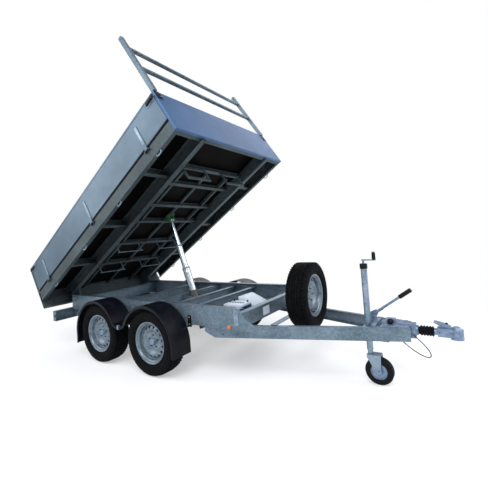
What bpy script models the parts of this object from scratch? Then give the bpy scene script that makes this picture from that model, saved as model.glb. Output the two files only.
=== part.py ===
"""Tandem-axle tipper trailer, parked on its jockey wheel with the bed tipped.

Metres, +Z up, +X forward to the coupling, -Y is the near side. The ground is z = 0 and x = 0 lies
midway between the two axles. Every piece of the bed is modelled level, in the frame of the bed's
hinge, and tipped by the empty that carries it.
"""
import math

import bmesh
import bpy
from mathutils import Matrix, Vector

# Clearances
SEAT = 0.0003
RUNNING = 0.005

# Wheels and axles
TYRE_RADIUS = 0.304
TYRE_WIDTH = 0.195
RIM_RADIUS = 0.1775
FLANGE_RADIUS = 0.194
WHEEL_BASE = 0.792
WHEEL_OUTER = 0.838
AXLE_LEAD = 0.150
AXLE_Z = 0.412
AXLE_RADIUS = 0.045
SPINDLE_RADIUS = 0.020

# Chassis
RAIL_OUTER = 0.627
RAIL_BOTTOM = 0.461
RAIL_TOP = 0.636
RAIL_FLANGE = 0.060
RAIL_REAR = -1.235
RAIL_FRONT = 1.540
GAUGE = 0.004
BEAM_REAR = (0.900, 0.606)
BEAM_FRONT = (2.470, 0.082)
BEAM_HEIGHT = 0.106
BEAM_FLANGE = 0.034
LIGHT_BAR_X = (-1.310, -1.250)
LIGHT_BAR_Z = (0.355, 0.475)
LIGHT_BAR_HALF = 0.830

# Bed: u runs forward from its rear face, w up from the side rails' bottom
HINGE_X = -1.189
HINGE_Z = 0.606
HINGE_U = 0.146
HINGE_W = -0.096
TIP_DEG = 32.7
BED_LENGTH = 2.840
BED_HALF = 0.939
BOARD_THICK = 0.025
BOARD_BOTTOM = 0.133
BOARD_TOP = 0.458
RAIL_DEPTH = 0.128
FLOOR_THICK = 0.018
FLOOR_TOP = 0.127
REAR_BEAM_DEPTH = 0.040
POST_LENGTH = 0.040
MAIN_V = 0.552
MAIN_FLANGE = 0.060
MAIN_BOTTOM = -0.020
DROP_HINGE_V = 0.953
DROP_HINGE_W = 0.092
STRAPS_U = (0.350, 1.440, 2.480)
STRAPS_Y = (-0.650, 0, 0.650)
TAIL_HINGE = 0.014
LADDER_RISE = 0.745
LADDER_RUNGS = (0.600, 0.320)
LADDER_BAR = 0.040

# Tipping cylinder
TRUNNION_X = 0.265
TRUNNION_Z = 0.540
EYE_U = 1.578
EYE_W = 0.028
STAGE_RADII = (0.050, 0.042, 0.034, 0.026)
STAGE_LAP = 0.0005
EYE_CLOSED = 0.200
EYE_HALF = 0.024
TRUNNION_RADIUS = 0.012
BARREL_BELOW = 0.330
BARREL_ABOVE = 0.100
STAGE_STEP = 0.015

# Drawbar fittings
HITCH_Z = 0.427
HITCH_X = 2.759
JOCKEY_X = 2.172
JOCKEY_Y = -0.088
JOCKEY_TRAIL = 0.058
JOCKEY_WHEEL_RADIUS = 0.105
SPARE_CENTRE = (1.609, 0.070, 0.640)
CABLE_RADIUS = 0.0035
CABLE = ((2.350, -0.0468, 0.400), (2.560, -0.055, 0.170), (2.700, -0.110, 0.240),
         (2.480, -0.0468, 0.400))

# The origin is under the middle of the trailer's box
ORIGIN_X = 0.59492

SIDES = {"near": -1, "far": 1}
ENDS = {"front": 1, "rear": -1}


def clear_scene():
    """Remove what the file already holds."""
    for obj in list(bpy.data.objects):
        bpy.data.objects.remove(obj, do_unlink=True)


def new_collection(name):
    """Return a collection linked under the scene."""
    collection = bpy.data.collections.new(name)
    bpy.context.scene.collection.children.link(collection)
    return collection


def finish(name, colour, roughness, metallic):
    """Return a material for one kind of surface."""
    material = bpy.data.materials.new(name)
    material.use_nodes = True
    shader = material.node_tree.nodes["Principled BSDF"]
    shader.inputs["Base Color"].default_value = (*colour, 1)
    shader.inputs["Roughness"].default_value = roughness
    shader.inputs["Metallic"].default_value = metallic
    return material


clear_scene()
PARTS = new_collection("tipper_trailer")
GALVANISED = finish("galvanised_steel", (0.42, 0.46, 0.48), 0.45, 0.85)
SHEET = finish("galvanised_sheet", (0.36, 0.43, 0.50), 0.42, 0.80)
RUBBER = finish("rubber", (0.018, 0.018, 0.020), 0.85, 0.0)
RIM_SILVER = finish("silver_paint", (0.52, 0.54, 0.56), 0.35, 0.55)
PLASTIC = finish("black_plastic", (0.022, 0.024, 0.030), 0.50, 0.0)
FLOOR_BLACK = finish("film_faced_board", (0.030, 0.028, 0.026), 0.55, 0.0)
CHROME = finish("hard_chrome", (0.75, 0.76, 0.78), 0.12, 1.0)
PAINT = finish("barrel_paint", (0.20, 0.18, 0.17), 0.45, 0.1)
CAST = finish("cast_steel", (0.50, 0.51, 0.52), 0.45, 0.7)
BATTERY_BLUE = finish("battery_case", (0.030, 0.045, 0.14), 0.40, 0.0)
LENS = finish("lamp_lens", (0.55, 0.03, 0.02), 0.20, 0.0)
GREEN = finish("bracket_green", (0.05, 0.22, 0.10), 0.45, 0.1)
AMBER = finish("reflector_amber", (0.80, 0.22, 0.03), 0.25, 0.0)


# Making pieces


def loose(mesh, matrix=None):
    """Wrap a mesh as a piece whose points are in the frame of the empty that will carry it."""
    if matrix is not None:
        mesh.transform(matrix)
    piece = bpy.data.objects.new("piece", mesh)
    PARTS.objects.link(piece)
    return piece


def evaluated(obj):
    """Return the object's evaluated mesh, with doubled points welded and faces outward."""
    bpy.context.view_layer.update()
    graph = bpy.context.evaluated_depsgraph_get()
    mesh = bpy.data.meshes.new_from_object(obj.evaluated_get(graph))
    shape = bmesh.new()
    shape.from_mesh(mesh)
    bmesh.ops.remove_doubles(shape, verts=shape.verts, dist=0.00001)
    bmesh.ops.recalc_face_normals(shape, faces=shape.faces)
    shape.to_mesh(mesh)
    shape.free()
    return mesh


def block(low, high):
    """Return a box between two corners."""
    shape = bmesh.new()
    bmesh.ops.create_cube(shape, size=1)
    size = [b - a for a, b in zip(low, high)]
    middle = [(a + b) / 2 for a, b in zip(low, high)]
    bmesh.ops.scale(shape, vec=size, verts=shape.verts)
    bmesh.ops.translate(shape, vec=middle, verts=shape.verts)
    mesh = bpy.data.meshes.new("block")
    shape.to_mesh(mesh)
    shape.free()
    return loose(mesh)


def rod(start, end, radius, sides=16, end_radius=None):
    """Return a round bar, or a cone, from one point to another."""
    start, end = Vector(start), Vector(end)
    shape = bmesh.new()
    bmesh.ops.create_cone(shape, cap_ends=True, segments=sides, radius1=radius,
                          radius2=radius if end_radius is None else end_radius,
                          depth=(end - start).length)
    turn = Vector((0, 0, 1)).rotation_difference(end - start).to_matrix().to_4x4()
    mesh = bpy.data.meshes.new("rod")
    shape.to_mesh(mesh)
    shape.free()
    return loose(mesh, Matrix.Translation((start + end) / 2) @ turn)


def flat(outlines, low, high, axis="Z", turn=None):
    """Return a flat outline, with any further outlines as its holes, made solid along an axis.

    The outline's two coordinates are (x, y) for axis Z, (x, z) for Y and (y, z) for X.
    """
    curve = bpy.data.curves.new("outline", "CURVE")
    curve.dimensions = "2D"
    curve.fill_mode = "BOTH"
    curve.extrude = (high - low) / 2
    for outline in outlines:
        spline = curve.splines.new("POLY")
        spline.points.add(len(outline) - 1)
        for point, (across, up) in zip(spline.points, outline):
            point.co = (across, up, 0, 1)
        spline.use_cyclic_u = True
    holder = bpy.data.objects.new("outline", curve)
    PARTS.objects.link(holder)
    mesh = evaluated(holder)
    bpy.data.objects.remove(holder, do_unlink=True)
    bpy.data.curves.remove(curve)
    middle = (low + high) / 2
    columns = {"Z": ((1, 0, 0), (0, 1, 0), (0, 0, 1)),
               "Y": ((1, 0, 0), (0, 0, 1), (0, -1, 0)),
               "X": ((0, 1, 0), (0, 0, 1), (1, 0, 0))}[axis]
    shift = {"Z": (0, 0, middle), "Y": (0, middle, 0), "X": (middle, 0, 0)}[axis]
    matrix = Matrix.Translation(shift) @ Matrix(columns).transposed().to_4x4()
    if turn is not None:
        matrix = turn @ matrix
    return loose(mesh, matrix)


def turned(profile, steps, place, direction=(0, 0, 1), closed=False):
    """Return a profile of (radius, height) points turned about an axis through a place."""
    mesh = bpy.data.meshes.new("profile")
    count = len(profile)
    links = [(i, (i + 1) % count) for i in range(count if closed else count - 1)]
    mesh.from_pydata([(radius, 0, height) for radius, height in profile], links, [])
    holder = bpy.data.objects.new("profile", mesh)
    PARTS.objects.link(holder)
    screw = holder.modifiers.new("turn", "SCREW")
    screw.steps = steps
    screw.render_steps = steps
    screw.use_merge_vertices = True
    screw.merge_threshold = 0.0001
    result = evaluated(holder)
    bpy.data.objects.remove(holder, do_unlink=True)
    turn = Vector((0, 0, 1)).rotation_difference(Vector(direction)).to_matrix().to_4x4()
    return loose(result, Matrix.Translation(place) @ turn)


def pipe(points, radius, rounds=1):
    """Return a round tube along points, with its ends closed."""
    curve = bpy.data.curves.new("path", "CURVE")
    curve.dimensions = "3D"
    curve.bevel_depth = radius
    curve.bevel_resolution = rounds
    curve.use_fill_caps = True
    spline = curve.splines.new("POLY")
    spline.points.add(len(points) - 1)
    for point, place in zip(spline.points, points):
        point.co = (*place, 1)
    holder = bpy.data.objects.new("path", curve)
    PARTS.objects.link(holder)
    mesh = evaluated(holder)
    bpy.data.objects.remove(holder, do_unlink=True)
    return loose(mesh)


def channel(low, high, along, open_to):
    """Return a folded channel filling a box, running along an axis and open to one side.

    along is X or Y, and open_to is +Y or -Y for X, and +X or -X for Y.
    """
    run, side = {"X": (0, 1), "Y": (1, 0)}[along]
    bottom, top = low[2], high[2]
    if open_to[0] == "+":
        back, edge = low[side], high[side]
        web = back + GAUGE
    else:
        back, edge = high[side], low[side]
        web = back - GAUGE
    outline = [(back, bottom), (edge, bottom), (edge, bottom + GAUGE), (web, bottom + GAUGE),
               (web, top - GAUGE), (edge, top - GAUGE), (edge, top), (back, top)]
    return flat([outline], low[run], high[run], along)


def arc(centre, radius, start, end, count):
    """Return points on an arc, its ends in degrees."""
    step = (end - start) / (count - 1)
    angles = [math.radians(start + step * i) for i in range(count)]
    return [(centre[0] + radius * math.cos(a), centre[1] + radius * math.sin(a)) for a in angles]


def combine(pieces, operation="UNION"):
    """Join the pieces to the first one, or cut them from it, and return the result."""
    first = pieces[0]
    for other in pieces[1:]:
        step = first.modifiers.new("join", "BOOLEAN")
        step.operation = operation
        step.object = other
    mesh = evaluated(first)
    for piece in pieces:
        bpy.data.objects.remove(piece, do_unlink=True)
    return loose(mesh)


def part(name, pieces, material, carrier=None, origin=(0, 0, 0)):
    """Store the joined pieces as one named part whose origin is a point in its carrier's frame."""
    piece = combine(pieces) if len(pieces) > 1 else pieces[0]
    piece.name = name
    piece.data.name = name
    piece.data.transform(Matrix.Translation([-value for value in origin]))
    piece.location = origin
    piece.parent = carrier
    piece.data.materials.clear()
    piece.data.materials.append(material)
    piece.data.shade_smooth()
    piece.data.set_sharp_from_angle(angle=math.radians(35))
    return piece


def empty(name, location, rotation=(0, 0, 0), carrier=None):
    """Return an empty that carries the pieces of a moving body."""
    holder = bpy.data.objects.new(name, None)
    holder.location = location
    holder.rotation_euler = rotation
    holder.parent = carrier
    PARTS.objects.link(holder)
    return holder


def mirrored(side, low, high):
    """Return a box's corners with the y values of its near side turned to the given side."""
    if side < 0:
        return low, high
    return (low[0], -high[1], low[2]), (high[0], -low[1], high[2])


# Wheels


def tyre_piece(place, direction):
    """Return a tyre turned about its axle."""
    half = TYRE_WIDTH / 2
    bead = RIM_RADIUS + 0.0010
    lip = FLANGE_RADIUS + 0.0025
    outer = [(TYRE_RADIUS, 0.052), (TYRE_RADIUS - 0.0075, 0.081), (0.268, half - 0.001),
             (0.235, half), (lip + 0.001, 0.081), (lip, 0.0695), (bead, 0.0695)]
    profile = [(r, -z) for r, z in outer] + [(r, z) for r, z in reversed(outer)]
    return turned(profile, 40, place, direction, closed=True)


def rim_piece(place, direction, drum=True):
    """Return a steel disc wheel, with its brake drum where it has one, as one turned solid."""
    edge = 0.0700
    face = [(0, 0.036), (0.032, 0.036), (0.035, 0.024), (0.086, 0.024), (0.124, 0.044),
            (0.158, 0.028), (0.175, 0.064), (FLANGE_RADIUS - 0.002, 0.078)]
    barrel = [(FLANGE_RADIUS, edge), (RIM_RADIUS, edge), (0.160, 0.044), (0.160, -0.020),
              (RIM_RADIUS, -edge), (FLANGE_RADIUS, -edge), (FLANGE_RADIUS - 0.002, -0.078),
              (0.172, -0.064)]
    back = [(0.150, -0.014), (0.150, 0.018), (0.118, 0.036)]
    hub = [(0.118, -0.046), (SPINDLE_RADIUS + SEAT, -0.046), (SPINDLE_RADIUS + SEAT, -0.004),
           (0, -0.004)]
    plain = [(0.086, 0.016), (0, 0.016)]
    return turned(face + barrel + back + (hub if drum else plain), 28, place, direction)


def road_wheels():
    """Build the four road wheels, each with its origin on its axle."""
    for end_name, end in ENDS.items():
        for side_name, side in SIDES.items():
            place = (end * WHEEL_BASE / 2, side * (WHEEL_OUTER - TYRE_WIDTH / 2), TYRE_RADIUS)
            label = f"{end_name}_{side_name}"
            part(f"tyre_{label}", [tyre_piece(place, (0, side, 0))], RUBBER, origin=place)
            part(f"rim_{label}", [rim_piece(place, (0, side, 0))], RIM_SILVER, origin=place)


def axles():
    """Build each rubber torsion axle with its clamps, trailing arms and spindles."""
    arm_inner, arm_outer = RAIL_OUTER - 0.028, RAIL_OUTER + 0.008
    wheel_y = WHEEL_OUTER - TYRE_WIDTH / 2
    for end_name, end in ENDS.items():
        wheel_x = end * WHEEL_BASE / 2
        tube_x = wheel_x + AXLE_LEAD
        pieces = [rod((tube_x, -arm_inner, AXLE_Z), (tube_x, arm_inner, AXLE_Z), AXLE_RADIUS, 6)]
        for side in SIDES.values():
            slope = math.degrees(math.atan2(AXLE_Z - TYRE_RADIUS, AXLE_LEAD))
            outline = (arc((tube_x, AXLE_Z), 0.038, slope - 90, slope + 90, 6)
                       + arc((wheel_x, TYRE_RADIUS), 0.032, slope + 90, slope + 270, 6))
            low, high = sorted((side * (arm_inner - 0.002), side * arm_outer))
            pieces.append(flat([outline], low, high, "Y"))
            spindle_end = side * (wheel_y - 0.004 - 2 * SEAT)
            pieces.append(rod((wheel_x, side * (arm_outer - 0.010), TYRE_RADIUS),
                              (wheel_x, spindle_end, TYRE_RADIUS), SPINDLE_RADIUS, 12))
            clamp = mirrored(side, (tube_x - 0.045, -arm_inner - 0.010, AXLE_Z + 0.010),
                             (tube_x + 0.045, -0.545, RAIL_BOTTOM - SEAT))
            pieces.append(block(*clamp))
        part(f"axle_{end_name}", pieces, GALVANISED, origin=(tube_x, 0, AXLE_Z))


# Chassis


def rails():
    """Build each folded side rail with the pin that the bed hinges on."""
    for side_name, side in SIDES.items():
        outline = [(RAIL_REAR, RAIL_BOTTOM), (RAIL_FRONT, RAIL_BOTTOM), (1.352, 0.552),
                   (1.300, RAIL_TOP), (RAIL_REAR, RAIL_TOP)]
        low, high = sorted((side * (RAIL_OUTER - GAUGE), side * RAIL_OUTER))
        web = flat([outline], low, high, "Y")
        inner = RAIL_OUTER - RAIL_FLANGE
        bottom = mirrored(side, (RAIL_REAR, -RAIL_OUTER + 0.001, RAIL_BOTTOM),
                          (RAIL_FRONT - 0.020, -inner, RAIL_BOTTOM + GAUGE))
        top = mirrored(side, (RAIL_REAR, -RAIL_OUTER + 0.001, RAIL_TOP - GAUGE),
                       (1.300, -inner, RAIL_TOP))
        pin = rod((HINGE_X, side * (RAIL_OUTER - 0.002), HINGE_Z),
                  (HINGE_X, side * (MAIN_V - 0.006), HINGE_Z), 0.0125, 16)
        head = rod((HINGE_X, side * (RAIL_OUTER - 0.002), HINGE_Z),
                   (HINGE_X, side * (RAIL_OUTER + 0.010), HINGE_Z), 0.018, 6)
        part(f"rail_{side_name}", [web, block(*bottom), block(*top), pin, head], GALVANISED)


def crossmembers():
    """Build the chassis cross members between the rails' webs."""
    reach = RAIL_OUTER - GAUGE - SEAT
    spans = {"crossmember_rear": (-1.120, -1.070, 0.480, 0.610),
             "crossmember_middle": (-0.300, -0.250, 0.500, 0.610),
             "crossmember_front": (0.680, 0.730, 0.490, 0.600)}
    for name, (x0, x1, z0, z1) in spans.items():
        part(name, [channel((x0, -reach, z0), (x1, reach, z1), "Y", "+X")], GALVANISED)


def cylinder_cradle():
    """Build the two beams and the cheek plates that carry the cylinder's trunnions."""
    reach = RAIL_OUTER - GAUGE - SEAT
    behind = channel((0.090, -reach, 0.490), (0.140, reach, 0.600), "Y", "-X")
    ahead = channel((0.392, -reach, 0.490), (0.442, reach, 0.600), "Y", "+X")
    pieces = [behind, ahead]
    hole = arc((TRUNNION_X, TRUNNION_Z), 0.0125, 360, 0, 17)[:-1]
    outline = [(0.138, 0.500), (0.394, 0.500), (0.394, 0.590), (0.138, 0.590)]
    for side in SIDES.values():
        low, high = sorted((side * 0.062, side * 0.072))
        pieces.append(flat([outline, hole], low, high, "Y"))
    part("cylinder_cradle", pieces, GALVANISED)


def front_panel():
    """Build the folded panel that closes the chassis, with the tube across its top."""
    reach = RAIL_OUTER - GAUGE - SEAT
    inner = RAIL_OUTER - RAIL_FLANGE - SEAT
    panel = channel((1.230, -inner, RAIL_BOTTOM + 0.008), (1.290, inner, 0.590), "Y", "-X")
    tie = rod((1.235, -reach, 0.570), (1.235, reach, 0.570), 0.021, 12)
    part("front_panel", [panel, tie], GALVANISED)


def beam_face(x):
    """Return the distance of the drawbar beams' outer face from the middle at a place along x."""
    (x0, y0), (x1, y1) = BEAM_REAR, BEAM_FRONT
    return y0 + (y1 - y0) * (x - x0) / (x1 - x0)


def drawbar_beams():
    """Build the two converging beams of the V drawbar."""
    top = RAIL_BOTTOM - SEAT
    bottom = top - BEAM_HEIGHT
    (x0, y0), (x1, y1) = BEAM_REAR, BEAM_FRONT
    length = math.hypot(x1 - x0, y1 - y0)
    heading = math.atan2(y0 - y1, x1 - x0)
    for side_name, side in SIDES.items():
        beam = channel((0, 0, bottom), (length, BEAM_FLANGE, top), "X", "+Y")
        corner = [(-0.010, bottom - 0.010), (0.110, bottom - 0.010), (0.090, bottom),
                  (-0.010, bottom + 0.060)]
        beam = combine([beam, flat([corner], -0.010, BEAM_FLANGE + 0.010, "Y")], "DIFFERENCE")
        beam.data.transform(Matrix.Rotation(heading, 4, "Z"))
        beam.data.transform(Matrix.Translation((x0, -y0, 0)))
        if side > 0:
            beam.data.transform(Matrix.Scale(-1, 4, (0, 1, 0)))
            beam.data.flip_normals()
        part(f"drawbar_{side_name}", [beam], GALVANISED)


def light_bar():
    """Build the rear bar with its hangers and the blank number plate, and a lamp at each end."""
    low = (LIGHT_BAR_X[0], -LIGHT_BAR_HALF, LIGHT_BAR_Z[0])
    high = (LIGHT_BAR_X[1], LIGHT_BAR_HALF, LIGHT_BAR_Z[1])
    pieces = [channel(low, high, "Y", "+X")]
    for side in SIDES.values():
        outline = [(LIGHT_BAR_X[0] + 0.002, LIGHT_BAR_Z[0] + 0.002),
                   (LIGHT_BAR_X[1] + 0.004, LIGHT_BAR_Z[0] + 0.002), (-1.150, RAIL_BOTTOM - SEAT),
                   (RAIL_REAR, RAIL_BOTTOM - SEAT), (LIGHT_BAR_X[0] + 0.002, LIGHT_BAR_Z[1] - 0.018)]
        y0, y1 = sorted((side * 0.570, side * 0.578))
        pieces.append(flat([outline], y0, y1, "Y"))
    plate_face = LIGHT_BAR_X[0] - 0.004
    pieces.append(block((plate_face, -0.260, 0.360), (LIGHT_BAR_X[0] + 0.001, 0.260, 0.470)))
    part("light_bar", pieces, GALVANISED)
    for side_name, side in SIDES.items():
        back = LIGHT_BAR_X[0] - SEAT
        corners = mirrored(side, (back - 0.035, -0.815, 0.365), (back, -0.600, 0.465))
        part(f"lamp_{side_name}", [block(*corners)], LENS)


def mudguards():
    """Build the one-piece guard over both wheels of each side, with the bracket to its rail."""
    radius = 0.345
    thick = 0.005
    wheel_x = WHEEL_BASE / 2
    valley = 0.415
    def path(offset):
        r = radius + offset
        rise = math.degrees(math.asin((valley + offset - TYRE_RADIUS) / r))
        rear = arc((-wheel_x, TYRE_RADIUS), r, 188, rise, 12)
        front = arc((wheel_x, TYRE_RADIUS), r, 180 - rise, 4, 12)
        return [(rear[0][0] - 0.006, 0.175)] + rear + front + [(front[-1][0] + 0.004, 0.215)]

    outline = path(thick) + list(reversed(path(0)))
    inner, outer = 0.640, 0.866
    for side_name, side in SIDES.items():
        low, high = sorted((side * inner, side * outer))
        shell = flat([outline], low, high, "Y")
        bracket = mirrored(side, (-0.030, -inner - 0.030, valley + 0.002),
                           (0.030, -RAIL_OUTER - SEAT, valley + 0.085))
        part(f"mudguard_{side_name}", [shell, block(*bracket)], PLASTIC)


# Drawbar fittings


def overrun():
    """Build the overrun housing, its bellows, the draw tube with the coupling, and the brake rod."""
    seat = RAIL_BOTTOM
    front, rear = BEAM_FRONT[0] - 0.010, 2.270
    outline = [(rear, -beam_face(rear) + 0.008), (front, -beam_face(front) + 0.004),
               (front, beam_face(front) - 0.004), (rear, beam_face(rear) - 0.008)]
    housing = [block((2.255, -0.043, 0.372), (2.500, 0.043, 0.474)),
               flat([outline], seat, seat + 0.008),
               rod((2.498, 0, HITCH_Z), (2.516, 0, HITCH_Z), 0.036, 16),
               block((2.300, -0.030, 0.470), (2.360, 0.030, 0.500))]
    part("overrun_housing", housing, CAST)
    ribs = [(0.0252, 2.620)]
    count = 5
    pitch = 0.019
    for index in range(count):
        ribs.append((0.040, 2.612 - pitch * index))
        ribs.append((0.031, 2.6025 - pitch * index))
    ribs.append((0.0252, 2.5165))
    part("bellows", [turned(ribs, 16, (0, 0, HITCH_Z), (1, 0, 0), closed=True)], RUBBER)
    socket = [rod((2.5165, 0, HITCH_Z), (2.690, 0, HITCH_Z), 0.0245, 16),
              block((2.640, -0.033, HITCH_Z - 0.028), (2.745, 0.033, HITCH_Z + 0.034)),
              rod((HITCH_X, 0, HITCH_Z - 0.042), (HITCH_X, 0, HITCH_Z + 0.030), 0.042, 20),
              rod((HITCH_X, 0, HITCH_Z + 0.028), (HITCH_X, 0, HITCH_Z + 0.048), 0.040, 20, 0.020)]
    handle = flat([[(2.735, 0.455), (2.722, 0.480), (2.622, 0.508), (2.618, 0.494), (2.690, 0.458)]],
                  -0.016, 0.016, "Y")
    coupling = combine(socket + [handle])
    ball = rod((HITCH_X, 0, HITCH_Z - 0.060), (HITCH_X, 0, HITCH_Z + 0.006), 0.0255, 20)
    part("coupling", [combine([coupling, ball], "DIFFERENCE")], CAST)
    rod_z = 0.318
    link = [rod((0.602, 0, rod_z), (2.230, 0, rod_z), 0.006, 8),
            block((2.215, -0.010, rod_z - 0.010), (2.300, 0.010, 0.3717)),
            block((0.530, -0.012, rod_z - 0.008), (0.612, 0.012, AXLE_Z - AXLE_RADIUS - SEAT))]
    part("brake_rod", link, GALVANISED)


def handbrake():
    """Build the handbrake lever with its quadrant."""
    y0, y1 = 0.048, 0.058
    quadrant = flat([[(2.120, 0.470), (2.180, 0.470), (2.215, 0.500), (2.235, 0.545),
                      (2.205, 0.550), (2.150, 0.520)]], y0, y1, "Y")
    foot = block((2.130, y0 - 0.020, RAIL_BOTTOM), (2.210, y1, 0.480))
    lever = rod((2.205, (y0 + y1) / 2, 0.525), (2.400, (y0 + y1) / 2, 0.665), 0.010, 12)
    grip = rod((2.395, (y0 + y1) / 2, 0.6615), (2.480, (y0 + y1) / 2, 0.7225), 0.016, 12)
    tie = block((2.204, -0.145, RAIL_BOTTOM), (2.236, 0.145, 0.469))
    part("handbrake", [quadrant, foot, lever, grip, tie], PLASTIC)


def jockey():
    """Build the jockey wheel: clamp and tube, inner leg, fork and wheel."""
    x, y = JOCKEY_X, JOCKEY_Y
    tube = turned([(0, 0.930), (0.0240, 0.930), (0.0240, 0.262), (0.0202, 0.262), (0.0202, 0.920), (0, 0.920)],
                  20, (x, y, 0))
    tube_top = rod((x, y, 0.915), (x, y, 0.945), 0.028, 20)
    spindle = rod((x, y, 0.940), (x, y, 0.975), 0.008, 12)
    crank = flat([[(x - 0.012, y - 0.012), (x + 0.095, y - 0.010), (x + 0.095, y + 0.010),
                   (x - 0.012, y + 0.012)]], 0.970, 0.980)
    knob = rod((x + 0.082, y, 0.976), (x + 0.082, y, 1.040), 0.012, 12)
    web = GAUGE * 1.06 + SEAT
    arm = [(x - 0.030, y - 0.020), (x - 0.030, -beam_face(x - 0.030) + web),
           (x + 0.030, -beam_face(x + 0.030) + web), (x + 0.030, y - 0.020)]
    clamp = [block((x - 0.032, y - 0.034, 0.395), (x + 0.032, y + 0.034, 0.450)),
             flat([arm], 0.400, 0.445)]
    bore = rod((x, y, 0.300), (x, y, 0.600), 0.0230, 20)
    collar = combine([combine(clamp), bore], "DIFFERENCE")
    part("jockey_tube", [collar, tube, tube_top, spindle, crank, knob], GALVANISED)
    crown = 2 * JOCKEY_WHEEL_RADIUS + 0.016
    leg = rod((x, y, crown + 0.006 + SEAT), (x, y, 0.640), 0.0197, 20)
    part("jockey_leg", [leg], GALVANISED, origin=(x, y, crown + 0.006))
    cheek = [(x - 0.022, crown + 0.006), (x - 0.022, crown - 0.012),
             (x + JOCKEY_TRAIL - 0.016, 0.090), (x + JOCKEY_TRAIL + 0.016, 0.090),
             (x + JOCKEY_TRAIL + 0.024, crown - 0.012), (x + JOCKEY_TRAIL + 0.024, crown + 0.006)]
    wheel_at = (x + JOCKEY_TRAIL, y, JOCKEY_WHEEL_RADIUS)
    fork = [block((x - 0.022, y - 0.040, crown), (x + JOCKEY_TRAIL + 0.024, y + 0.040, crown + 0.006))]
    for side in SIDES.values():
        low, high = sorted((y + side * 0.036, y + side * 0.041))
        fork.append(flat([cheek], low, high, "Y"))
    axle = rod((wheel_at[0], y - 0.046, wheel_at[2]), (wheel_at[0], y + 0.046, wheel_at[2]), 0.008, 12)
    part("jockey_fork", fork + [axle], GALVANISED, origin=(x, y, 0))
    bore = 0.0083
    radius = JOCKEY_WHEEL_RADIUS
    profile = [(radius - 0.006, 0.030), (radius, 0.018), (radius, -0.018), (radius - 0.006, -0.030),
               (0.066, -0.030), (0.060, -0.018), (0.026, -0.018), (0.024, -0.034), (bore, -0.034),
               (bore, 0.034), (0.024, 0.034), (0.026, 0.018), (0.060, 0.018), (0.066, 0.030)]
    part("jockey_wheel", [turned(profile, 24, wheel_at, (0, 1, 0), closed=True)], RUBBER,
         origin=wheel_at)


def spare_wheel():
    """Build the spare wheel and the carrier that bolts it behind the V of the drawbar."""
    x, y, z = SPARE_CENTRE
    part("spare_tyre", [tyre_piece(SPARE_CENTRE, (1, 0, 0))], RUBBER)
    part("spare_rim", [rim_piece(SPARE_CENTRE, (1, 0, 0), drum=False)], RIM_SILVER)
    rear = x - TYRE_WIDTH / 2
    plate = [(y - 0.045, 0.462), (y + 0.045, 0.462), (y + 0.045, 0.672), (y - 0.045, 0.672)]
    post = flat([plate], rear - 0.012, rear - 0.006, "X")
    stub = rod((rear - 0.010, y, z), (x + 0.016 - SEAT, y, z), 0.060, 16)
    foot = block((rear - 0.060, -0.395, RAIL_BOTTOM), (rear - 0.007, 0.395, 0.468))
    part("spare_carrier", [post, stub, foot], GALVANISED)


def equipment():
    """Build the battery and the pump unit on the tray between the rails."""
    flange_top = RAIL_BOTTOM + GAUGE + SEAT
    top = flange_top + 0.005
    tray = block((0.900, -0.500, flange_top), (1.200, 0.420, top))
    lip = block((0.898, -0.600, flange_top + 0.0), (0.980, 0.600, top + 0.002))
    part("equipment_tray", [tray, lip], GALVANISED)
    part("battery", [block((1.000, -0.440, top + SEAT), (1.190, -0.265, 0.585))], BATTERY_BLUE)
    pump = [block((0.990, -0.180, top + SEAT), (1.190, 0.060, 0.560)),
            rod((1.000, 0.100, 0.523), (1.170, 0.100, 0.523), 0.049, 16),
            block((1.010, 0.040, 0.480), (1.130, 0.100, 0.560))]
    part("pump_unit", pump, CAST)
    for side_name, side in SIDES.items():
        corners = mirrored(side, (1.140, -RAIL_OUTER - SEAT - 0.007, 0.464),
                           (1.230, -RAIL_OUTER - SEAT, 0.500))
        part(f"reflector_{side_name}", [block(*corners)], AMBER)


# Bed


def bed_point(u, w):
    """Return a point of the bed in the frame of its hinge."""
    return u - HINGE_U, w - HINGE_W


def bed_block(u, v, w):
    """Return a box from ranges along, across and up the bed."""
    (x0, z0), (x1, z1) = bed_point(u[0], w[0]), bed_point(u[1], w[1])
    return block((x0, v[0], z0), (x1, v[1], z1))


def bed_channel(u, v, w, along, open_to):
    """Return a channel from ranges along, across and up the bed."""
    (x0, z0), (x1, z1) = bed_point(u[0], w[0]), bed_point(u[1], w[1])
    return channel((x0, v[0], z0), (x1, v[1], z1), along, open_to)


def across(side, inner, outer):
    """Return the range of y between two distances from the middle on a side."""
    return tuple(sorted((side * inner, side * outer)))


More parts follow.
